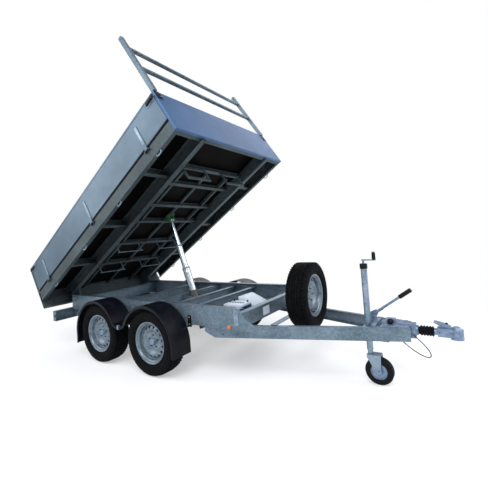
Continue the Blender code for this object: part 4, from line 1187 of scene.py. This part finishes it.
@dataclass
class Bed(Assembly):
    """The tipping bed: straps, latches, labels, edge trims, rack and hangers."""

    hinge_out: float = 0.014
    hinge_w: float = 0.092
    straps_along: tuple[float, ...] = (0.350, 1.440, 2.480)
    straps_across: tuple[float, ...] = (-0.650, 0.0, 0.650)
    rivets: tuple[float, ...] = (0.195, 0.270, 0.350)

    def straps(self) -> None:
        """Make the strap hinges of the boards, with their pivots and rivets."""
        for side in Side:
            sign = side.value
            face = sign * BED_HALF
            body = f"side_{side.label}"
            straps, pivots, spots = Shape(), Shape(), []
            for u in self.straps_along:
                straps.box((u - 0.0150, face + sign * 0.0058, 0.166),
                           (u + 0.0150, face + sign * 0.0072, 0.369), 0.0006)
                pivots.rod((u - 0.0215, face + sign * self.hinge_out, self.hinge_w),
                           (u + 0.0215, face + sign * self.hinge_out, self.hinge_w), 0.0079)
                spots += [((u, face + sign * 0.0072, w), (0, sign, 0), 0.0045, 0.0) for w in self.rivets]
            straps.ride(f"straps_{side.label}", "galvanised_bright", body, BED)
            pivots.ride(f"pivots_{side.label}", "black_plastic", body, BED)
            self.repeat.make(f"strap_rivets_{side.label}", rivet_head(), spots, "galvanised_bright", body,
                             BED)
        straps, spots = Shape(), []
        for y in self.straps_across:
            straps.box((-0.0072, y - 0.0150, 0.166), (-0.0058, y + 0.0150, 0.369), 0.0006)
            spots += [((-0.0072, y, w), (-1, 0, 0), 0.0045, 0.0) for w in self.rivets]
        straps.ride("straps_tailgate", "galvanised_bright", "tailgate", BED)
        self.repeat.make("strap_rivets_tailgate", rivet_head(), spots, "galvanised_bright", "tailgate", BED)

    def latches(self) -> None:
        """Make the corner latches: black levers on light keeps."""
        for side in Side:
            sign = side.value
            face = sign * BED_HALF
            body = f"side_{side.label}"
            levers, keeps, spots = Shape(), Shape(), []
            for u0, tip in ((0.047, 0.006), (2.698, 0.104)):
                levers.box((u0 + 0.012, face + sign * 0.001, 0.3985),
                           (u0 + 0.098, face + sign * 0.0205, 0.4265), 0.004, 3)
                levers.box((u0 + tip - 0.014, face + sign * 0.012, 0.3960),
                           (u0 + tip + 0.014, face + sign * 0.0215, 0.4290), 0.0035, 3)
                keeps.box((u0 - 0.001, face, 0.385), (u0 + 0.1110, face + sign * 0.004, 0.440), 0.001)
                spots += [((u0 + s, face + sign * 0.004, w), (0, sign, 0), 0.0042, 0.0)
                          for s in (0.020, 0.090) for w in (0.3915, 0.4335)]
            levers.ride(f"latch_levers_{side.label}", "black_plastic", body, BED)
            keeps.ride(f"latch_keeps_{side.label}", "galvanised_bright", body, BED)
            self.repeat.make(f"latch_rivets_{side.label}", rivet_head(), spots, "galvanised_bright", body,
                             BED)

    def boards(self) -> None:
        """Make the boards' rolled rims, the headboard's folds and its blank label."""
        for side in Side:
            sign = side.value
            outer = sign * BED_HALF
            rim = Shape()
            for u0, u1, w0, w1 in ((0.162, 2.694, 0.4400, 0.4578), (0.046, 2.809, 0.1335, 0.1480)):
                rim.box((u0, outer - sign * 0.0005, w0), (u1, outer + sign * 0.0022, w1), 0.001)
            rim.ride(f"board_rims_{side.label}", "board_sheet", f"side_{side.label}", BED)
        head = Shape()
        for w0, w1 in ((0.440, 0.4577), (0.133, 0.150), (0.0005, 0.016)):
            head.box((BED_LENGTH - 0.004, -BED_HALF + 0.0004, w0),
                     (BED_LENGTH - 0.0001, BED_HALF - 0.0004, w1))
        # The folds share the headboard's bluer sheet, a painted sky reflection
        head.ride("headboard_folds", "head_sheet", "bed", BED)
        label = Shape().box((BED_LENGTH - 0.0008, -0.925, 0.020), (BED_LENGTH - 0.00005, -0.790, 0.098),
                            0.0002, 1)
        label.ride("headboard_label", "label", "bed", BED)
        rim = Shape().box((-0.0010, -0.892, 0.4400), (0.0004, 0.892, 0.4555), 0.0004)
        rim.box((-0.0010, -0.892, 0.1335), (0.0004, 0.892, 0.1480), 0.0004)
        rim.ride("board_rims_tailgate", "board_sheet", "tailgate", BED)

    def under(self) -> None:
        """Make the hangers, hooks and bolt heads under the floor."""
        rods = Shape()
        for sign in (-1, 1):
            for u in (1.060, 0.620):
                y0, y1 = sign * 0.150, sign * 0.470
                rods.tube([(u, y0, 0.080), (u, y0, 0.060), (u, y0, -0.040),
                           (u + 0.002, y0 + sign * 0.006, -0.052), (u + 0.002, y1 - sign * 0.006, -0.052),
                           (u, y1, -0.040), (u, y1, 0.060), (u, y1, 0.080)], 0.006, 10, 4)
        rods.ride("ramp_hangers", "galvanised", "bed", BED)
        hooks = Shape()
        for sign in (-1, 1):
            for u in (0.420, 1.150, 1.880, 2.560):
                y = sign * (BED_HALF - 0.010)
                bend = ((-0.030, 0.004), (-0.030, -0.012), (-0.018, -0.022),
                        (0.018, -0.022), (0.030, -0.012), (0.030, 0.004))
                hooks.tube([(u + along, y, w) for along, w in bend], 0.0045, 10, 4)
        hooks.ride("lashing_hooks", "galvanised_bright", "bed", BED)
        spots = [((u, y, 0.0577), (0, 0, -1), 0.006, 0.0)
                 for u in (0.620, 1.060, 1.500, 1.800, 2.150, 2.400) for y in (-0.380, 0.0, 0.380)]
        self.repeat.make("floor_bolts", bolt_head(), spots, "galvanised", "bed", BED)

    def rack(self) -> None:
        """Make the rack's caps, foot plates and bolts."""
        caps, spots = Shape(), []
        for side in Side:
            sign = side.value
            edge = sign * (BED_HALF - 0.0002)
            caps.box((2.8145, sign * (BED_HALF - 0.0405), 1.196), (2.8555, edge, 1.2028), 0.003, 3)
            caps.box((2.8405, sign * (BED_HALF - 0.070), 0.360), (2.8440, edge, 0.4575), 0.001)
            spots += [((2.844, sign * (BED_HALF - 0.052), w), (1, 0, 0), 0.008, 0.2) for w in (0.385, 0.430)]
        caps.ride("rack_caps", "black_plastic", "bed", BED)
        self.repeat.make("rack_bolts", bolt_head(), spots, "galvanised_bright", "bed", BED)

    def build(self) -> None:
        """Make the bed's fittings."""
        self.straps()
        self.latches()
        self.boards()
        self.under()
        self.rack()

    def finishes(self) -> dict[str, str]:
        """Return the bed's finishes.

        Returns:
            Node names to finish names.
        """
        # The underside's frame and ramp holders take the darker zinc copy, which is painted shade
        dull = ("bed_frame", "ramp_holder_near", "ramp_holder_far")
        return {**{node: "galvanised_dull" for node in dull},
                # The headboard takes the bluer sheet, whose blue is a painted sky reflection
                "bed_floor": "floor_film", "headboard": "head_sheet", "ladder_rack": "galvanised",
                "side_board_near": "board_sheet", "side_board_far": "board_sheet",
                "tailgate": "board_sheet"}


@dataclass
class Cylinder(Assembly):
    """The telescopic tipping cylinder: gland nuts, trunnion nuts and the steel oil pipe."""

    top: float = 0.100
    outers: tuple[float, ...] = (0.050, 0.042, 0.034, 0.026)
    closed: float = 0.200
    step: float = 0.015

    def place(self) -> tuple[Matrix, float]:
        """Return the cylinder's frame and its length from trunnion to eye.

        Returns:
            The matrix that stands it up and the length.
        """
        eye = CHASSIS.inverted() @ BED @ Vector(EYE)
        span = eye - Vector(TRUNNION)
        lean = math.atan2(-span.x, span.z)
        return CHASSIS @ Matrix.Translation(TRUNNION) @ Matrix.Rotation(-lean, 4, "Y"), span.length

    def build(self) -> None:
        """Make the cylinder's fittings."""
        matrix, length = self.place()
        run = (length - self.closed) / 3
        for number, body in enumerate(("barrel", "stage_1", "stage_2")):
            outer, inner = self.outers[number], self.outers[number + 1] + 0.0006
            top = self.top + number * (run + self.step)
            ring = Shape().lathe([(inner, top + 0.004), (inner, top - 0.001), (outer - 0.0004, top - 0.0012),
                                  (outer + 0.0005, top - 0.016), (outer + 0.0024, top - 0.0158),
                                  (outer + 0.0024, top + 0.0022), (outer + 0.0006, top + 0.004)],
                                 (0, 0, 0), steps=48, closed=True)
            ring.ride(f"gland_{body}", "barrel_paint" if number == 0 else "zinc_cast", body, matrix)
        foot = Shape().lathe([(0.0440, -0.330), (0.0508, -0.3295), (0.0514, -0.322), (0.0514, -0.306),
                              (0.0504, -0.304)], (0, 0, 0), steps=48)
        foot.ride("barrel_foot", "barrel_paint", "barrel", matrix)
        pipe = Shape().tube([(0.990, -0.060, 0.500), (0.950, -0.060, 0.500), (0.910, -0.070, 0.492),
                             (0.760, -0.100, 0.486), (0.600, -0.100, 0.486), (0.470, -0.095, 0.492),
                             (0.400, -0.086, 0.520), (0.330, -0.080, 0.536), (0.290, -0.078, 0.540)],
                            0.005, 12, 6)
        pipe.rod((TRUNNION[0] + 0.016, -0.0725, TRUNNION[2]), (TRUNNION[0] + 0.016, -0.088, TRUNNION[2]),
                 0.012, sides=6)
        pipe.ride("oil_pipe", "galvanised_bright", "chassis")
        spots = [((x, sign * 0.072, z), (0, sign, 0), 0.0075, 0.2)
                 for sign in (-1, 1) for x in (0.160, 0.372) for z in (0.520, 0.570)]
        self.repeat.make("cheek_bolts", bolt_head(), spots, "galvanised_bright", "chassis")

    def finishes(self) -> dict[str, str]:
        """Return the cylinder's finishes.

        Returns:
            Node names to finish names.
        """
        return {"cylinder_barrel": "barrel_paint", "cylinder_stage_1": "chrome", "cylinder_stage_2": "chrome",
                "cylinder_stage_3": "chrome", "cylinder_bracket": "green_paint"}


@dataclass
class Drawbar(Assembly):
    """The coupling, overrun, handbrake and jockey wheel on the V drawbar."""

    jockey: tuple[float, float] = (2.172, -0.088)
    rear: tuple[float, float] = (0.900, 0.606)
    front: tuple[float, float] = (2.470, 0.082)

    def face(self, x: float) -> float:
        """Return how far from the middle the beams' outer face is.

        Args:
            x: The place along the trailer.

        Returns:
            The distance.
        """
        (x0, y0), (x1, y1) = self.rear, self.front
        return y0 + (y1 - y0) * (x - x0) / (x1 - x0)

    def build(self) -> None:
        """Make the drawbar's fittings."""
        slope = math.atan2(self.rear[1] - self.front[1], self.front[0] - self.rear[0])
        spots = []
        for sign in (-1, 1):
            out = (math.sin(slope), sign * math.cos(slope), 0)
            spots += [((x, sign * self.face(x), z), out, 0.0085, 0.5)
                      for x in (1.060, 1.180, 1.480, 1.600, 2.300, 2.390) for z in (0.380, 0.436)]
            spots += [((x, sign * (self.face(x) - 0.030), 0.469), (0, 0, 1), 0.0080, 0.3)
                      for x in (2.300, 2.430)]
        self.repeat.make("beam_bolts", bolt_head(), spots, "galvanised_bright", "chassis")
        self.hitch()
        self.lever()
        self.wheel()

    def hitch(self) -> None:
        """Make the coupling's lever, button and bolts, the draw tube's flange and the parked plug."""
        pull = Shape().plate([(2.736, 0.4585), (2.722, 0.4808), (2.680, 0.4960), (2.640, 0.5055),
                              (2.621, 0.5078), (2.6185, 0.4980), (2.655, 0.4880), (2.690, 0.4650),
                              (2.700, 0.4600)],
                             -0.0190, 0.0190, 0.003)
        pull.ride("coupling_lever", "zinc_cast", "chassis")
        button = Shape().rod((2.700, 0, 0.4600), (2.700, 0, 0.4990), 0.0100, 0.0085, 20, 0.002)
        button.ride("coupling_button", "black_plastic", "chassis")
        self.repeat.make("coupling_bolts", bolt_head(),
                         [((x, sign * 0.033, 0.430), (0, sign, 0), 0.0078, 0.3)
                          for sign in (-1, 1) for x in (2.660, 2.725)], "galvanised_bright", "chassis")
        plug = Shape().lathe([(0, 0), (0.0190, 0), (0.0210, 0.004), (0.0210, 0.022), (0.0170, 0.026),
                              (0.0170, 0.040), (0.0110, 0.046), (0.0070, 0.050), (0, 0.050)],
                             (2.330, -0.0300, 0.486), (0, -1, 0), 28)
        plug.ride("parked_plug", "black_plastic", "chassis")
        trim = Shape().lathe([(0.0250, 0.0), (0.0395, 0.0005), (0.0400, 0.004), (0.0250, 0.0045)],
                             (2.5118, 0, 0.427), (1, 0, 0), 40, closed=True)
        trim.rod((2.400, -0.0430, 0.386), (2.400, -0.0500, 0.386), 0.0080, sides=16)
        trim.ride("overrun_collar", "zinc_cast", "chassis")
        self.repeat.make("overrun_bolts", bolt_head(),
                         [((x, sign * 0.043, z), (0, sign, 0), 0.0078, 0.3)
                          for sign in (-1, 1) for x in (2.275, 2.480) for z in (0.395, 0.446)],
                         "galvanised_bright", "chassis")

    def lever(self) -> None:
        """Make the handbrake's grip and gas strut."""
        start, end = Vector((2.392, 0.053, 0.6594)), Vector((2.4805, 0.053, 0.7228))
        grip = Shape().rod(start, end, 0.0166, sides=28, bevel=0.003)
        for step in range(7):
            a, b = start.lerp(end, 0.06 + step * 0.13), start.lerp(end, 0.06 + step * 0.13 + 0.065)
            grip.rod(a, b, 0.0172, sides=24, bevel=0.0015)
        grip.ride("handbrake_grip", "black_plastic", "chassis")
        strut = Shape().rod((2.150, 0.066, 0.486), (2.262, 0.066, 0.560), 0.0095, sides=20)
        strut.rod((2.262, 0.066, 0.560), (2.312, 0.066, 0.594), 0.0045, sides=16)
        strut.rod((2.312, 0.057, 0.596), (2.312, 0.073, 0.596), 0.0065, sides=16)
        strut.rod((2.150, 0.057, 0.486), (2.150, 0.073, 0.486), 0.0065, sides=16)
        strut.ride("handbrake_strut", "zinc_cast", "chassis")

    def wheel(self) -> None:
        """Make the jockey wheel's crank knob, clamp plates, handle and tyre."""
        x, y = self.jockey
        knob = Shape().lathe([(0, -0.001), (0.0125, 0.0), (0.0145, 0.006), (0.0135, 0.050), (0.0110, 0.0645),
                              (0, 0.0655)], (x + 0.082, y, 0.9745), steps=28)
        knob.ride("jockey_knob", "black_plastic", "chassis")
        rings = Shape().lathe([(0.0242, 0.9060), (0.0290, 0.9065), (0.0290, 0.9440), (0.0275, 0.9460),
                               (0.0085, 0.9462)], (x, y, 0), steps=36)
        rings.ride("jockey_cap", "black_plastic", "chassis")
        clamp = Shape()
        for z in (0.3940, 0.4440):
            clamp.box((x - 0.0335, y - 0.0355, z), (x + 0.0335, y + 0.0350, z + 0.0070), 0.0015)
        clamp.rod((x - 0.010, y - 0.034, 0.4225), (x - 0.010, y - 0.062, 0.4225), 0.0060, sides=16)
        clamp.rod((x - 0.048, y - 0.060, 0.4225), (x + 0.040, y - 0.060, 0.4225), 0.0062, sides=16)
        clamp.ride("jockey_clamp", "galvanised_bright", "chassis")
        for z in (0.620, 0.780):
            ring = Shape().lathe([(0.0242, z), (0.0252, z + 0.001), (0.0252, z + 0.007), (0.0242, z + 0.008)],
                                 (x, y, 0), steps=36)
            ring.ride(f"jockey_ring_{round(z * 1000)}", "galvanised_bright", "chassis")
        place = (x + 0.058, y, 0.105)
        outer = Shape().lathe([(0.0608, 0.0300), (0.0990, 0.0302), (0.1030, 0.0240), (0.1049, 0.0180),
                               (0.1050, 0.0120), (0.1036, 0.0100), (0.1050, 0.0080), (0.1050, -0.0080),
                               (0.1036, -0.0100), (0.1050, -0.0120), (0.1049, -0.0180), (0.1030, -0.0240),
                               (0.0990, -0.0302), (0.0608, -0.0300)], place, (0, 1, 0), 64, closed=True)
        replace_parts(outer.ride("jockey_tyre", "rubber", "jockey_wheel"), "jockey_wheel")
        hub = Shape().lathe([(0.0610, 0.0298), (0.0580, 0.0290), (0.0560, 0.0190), (0.0270, 0.0180),
                             (0.0240, 0.0330), (0.0084, 0.0340), (0.0084, -0.0340), (0.0240, -0.0330),
                             (0.0270, -0.0180), (0.0560, -0.0190), (0.0580, -0.0290), (0.0610, -0.0298)],
                            place, (0, 1, 0), 64, closed=True)
        hub.ride("jockey_hub", "zinc_cast", "jockey_wheel")
        nut = Shape().rod((place[0], y - 0.0530, 0.105), (place[0], y - 0.0412, 0.105), 0.0110, sides=6)
        nut.ride("jockey_nut", "galvanised_bright", "jockey_fork")

    def finishes(self) -> dict[str, str]:
        """Return the drawbar's finishes.

        Returns:
            Node names to finish names.
        """
        bright = ("jockey_tube", "jockey_leg", "jockey_fork")
        return {**{node: "galvanised_bright" for node in bright}, "coupling": "zinc_cast",
                "overrun_housing": "zinc_cast", "bellows": "rubber", "handbrake": "zinc_cast"}


@dataclass
class Equipment(Assembly):
    """The battery, the pump unit with its cover, and the panel's blank label."""

    top: float = 0.4706

    def build(self) -> None:
        """Make the equipment's covers and fittings."""
        battery = Shape().box((0.9995, -0.4405, self.top), (1.1905, -0.2645, 0.600), 0.004, 3)
        battery.ride("battery_case", "battery_blue", "chassis")
        lid = Shape().box((0.9990, -0.4410, 0.6005), (1.1910, -0.2640, 0.6225), 0.004, 3)
        lid.ride("battery_lid", "white_plastic", "chassis")
        caps = Shape()
        for index in range(6):
            x = 1.018 + 0.0285 * index
            caps.rod((x, -0.352, 0.622), (x, -0.352, 0.6275), 0.0095, sides=20)
        for x in (1.020, 1.168):
            caps.rod((x, -0.290, 0.622), (x, -0.290, 0.6390), 0.0080, 0.0070, 18)
        caps.ride("battery_caps", "black_plastic", "chassis")
        cover = Shape().plate([(0.988, 0.4712), (1.192, 0.4712), (1.192, 0.562),
                               (1.020, 0.640), (0.988, 0.640)],
                              -0.1805, 0.0605, 0.006)
        cover.ride("pump_cover", "white_plastic", "chassis")
        tank = Shape().lathe([(0, -0.001), (0.040, 0.0), (0.0492, 0.010), (0.0498, 0.0855), (0.0498, 0.090),
                              (0.0492, 0.160), (0.040, 0.1710), (0, 0.1715)],
                             (1.000, 0.100, 0.523), (1, 0, 0), 44)
        tank.ride("pump_tank", "black_plastic", "chassis")
        spots = [((x, -0.1805, z), (0, -1, 0), 0.0048, 0.0) for x in (1.006, 1.130) for z in (0.486, 0.556)]
        self.repeat.make("cover_screws", rivet_head(), spots, "galvanised_bright", "chassis")
        label = Shape().box((1.2901, -0.230, 0.492), (1.2909, -0.110, 0.566), 0.0003, 1)
        label.ride("panel_label", "label", "chassis")

    def finishes(self) -> dict[str, str]:
        """Return the equipment's finishes.

        Returns:
            Node names to finish names.
        """
        return {"battery": "battery_blue", "pump_unit": "black_plastic"}


@dataclass
class Cable:
    """The breakaway cable that hangs in a loop below the overrun housing."""

    radius: float = 0.0035
    steps: int = 42
    route: tuple[Point, ...] = ((2.350, -0.0468, 0.400), (2.560, -0.055, 0.170), (2.700, -0.110, 0.240),
                                (2.480, -0.0468, 0.400))

    def build(self) -> None:
        start, pull, swing, end = [CHASSIS @ Vector(point) for point in self.route]
        points = []
        for index in range(self.steps + 1):
            t = index / self.steps
            points.append(start * (1 - t) ** 3 + pull * 3 * t * (1 - t) ** 2
                          + swing * 3 * t * t * (1 - t) + end * t ** 3)
        data = bpy.data.curves.new("cable", "CURVE")
        data.dimensions = "3D"
        data.bevel_depth = self.radius
        data.bevel_resolution = 4
        data.use_fill_caps = True
        line = data.splines.new("POLY")
        line.points.add(len(points) - 1)
        for point, place in zip(line.points, points):
            point.co = (*place, 1)
        data.materials.append(Paints.get("black_plastic"))
        cable = store("cable", data, "chassis")
        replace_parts(cable, "breakaway_cable")


@dataclass
class Studio:
    """The camera, floor, backdrop and soft light."""

    lens: float = 24.19
    shift: tuple[float, float] = (0.0221, -0.0430)
    place: Point = (2.24608, -2.858, 1.249)
    yaw: float = 34.643
    pitch: float = 2.066
    roll: float = -3.956
    floor: float = 24.0
    fade: tuple[float, float] = (2.2, 4.0)

    def camera(self) -> None:
        """Set the camera as the photograph's."""
        a, e, r = map(math.radians, (self.yaw, self.pitch, self.roll))
        ahead = Vector((-math.sin(a) * math.cos(e), math.cos(a) * math.cos(e), math.sin(e)))
        right = Vector((math.cos(a), math.sin(a), 0))
        up = right.cross(ahead)
        tilted_right = right * math.cos(r) + up * math.sin(r)
        tilted_up = up * math.cos(r) - right * math.sin(r)
        data = bpy.data.cameras.new("camera")
        data.lens = self.lens
        data.shift_x, data.shift_y = self.shift
        data.clip_end = 200
        camera = link("camera", data)
        turn = Matrix((tilted_right, tilted_up, -ahead)).transposed().to_4x4()
        camera.matrix_world = Matrix.Translation(self.place) @ turn
        bpy.context.scene.camera = camera

    def light(self) -> None:
        """Set the soft lights and the pale world."""
        for name, place, size, power in (("key", (2.5, -4.5, 5.5), 5.0, 380),
                                         ("fill", (-4.5, -4.0, 3.5), 5.0, 170),
                                         ("front", (5.0, 1.5, 3.0), 4.0, 140),
                                         ("back", (-2.0, 5.0, 4.5), 5.0, 150)):
            data = bpy.data.lights.new(name, "AREA")
            data.shape = "DISK"
            data.size = size
            data.energy = power
            lamp = link(name, data)
            lamp.matrix_world = Matrix.Translation(place) @ facing(Vector(place) - Vector((0, 0, 1.0)))
        world = bpy.data.worlds.new("studio")
        bpy.context.scene.world = world
        world.use_nodes = True
        tree = world.node_tree
        soft = tree.nodes["Background"]
        feed(soft.inputs["Color"], linear("#dfe6ef"))
        feed(soft.inputs["Strength"], 0.62)
        white = add_node(tree, "ShaderNodeBackground", {"Color": (1, 1, 1, 1), "Strength": 1.0})
        seen = add_node(tree, "ShaderNodeLightPath")
        mixed = add_node(tree, "ShaderNodeMixShader", {"Fac": seen.outputs["Is Camera Ray"],
                                                       1: soft.outputs["Background"],
                                                       2: white.outputs["Background"]})
        feed(tree.nodes["World Output"].inputs["Surface"], mixed.outputs["Shader"])

    def ground(self) -> None:
        """Make the plain pale floor, which keeps the trailer's shadow."""
        graph = Graph("studio_floor")
        grain = graph.noise(900.0, 2)
        graph.shade(Base_Color=graph.ramp(grain, [(0.4, "#f5f6f7"), (0.6, "#f8f8f9")]), Roughness=0.9,
                    Specular_IOR_Level=0.1)
        flat = graph.add("ShaderNodeVectorMath", {"Vector": graph.place}, operation="LENGTH").outputs["Value"]
        start, end = self.fade
        away = graph.add("ShaderNodeMapRange", {"Value": flat, "From Min": start, "From Max": end,
                                                "To Min": 0.4}, interpolation_type="SMOOTHSTEP").outputs["Result"]
        seen = graph.add("ShaderNodeLightPath").outputs["Is Camera Ray"]
        share = graph.add("ShaderNodeMath", {0: away, 1: seen}, operation="MULTIPLY").outputs["Value"]
        white = graph.add("ShaderNodeEmission", {"Color": (1, 1, 1, 1), "Strength": 1.0})
        mixed = graph.add("ShaderNodeMixShader", {"Fac": share, 1: graph.shader.outputs["BSDF"],
                                                  2: white.outputs["Emission"]})
        feed(graph.tree.nodes["Material Output"].inputs["Surface"], mixed.outputs["Shader"])
        mesh = bpy.data.meshes.new("floor")
        half = self.floor
        corners = [(-half, -half, 0), (half, -half, 0), (half, half, 0), (-half, half, 0)]
        mesh.from_pydata(corners, [], [(0, 1, 2, 3)])
        mesh.materials.append(graph.material)
        floor = link("floor", mesh)
        floor.location.z = -0.0005


def main() -> None:
    """Build and dress the trailer, then its studio.
    """
    logging.basicConfig(level=logging.INFO)
    studio = Studio()
    studio.camera()
    Cable().build()
    repeat = Repeat("repeat")
    for kind in (Wheels, Mudguards, Chassis, Bed, Cylinder, Drawbar, Equipment):
        assembly = kind(repeat)
        assembly.build()
        assembly.dress()
    studio.ground()
    studio.light()
    bpy.context.scene.view_settings.view_transform = "Standard"


if __name__ == "__main__":
    main()
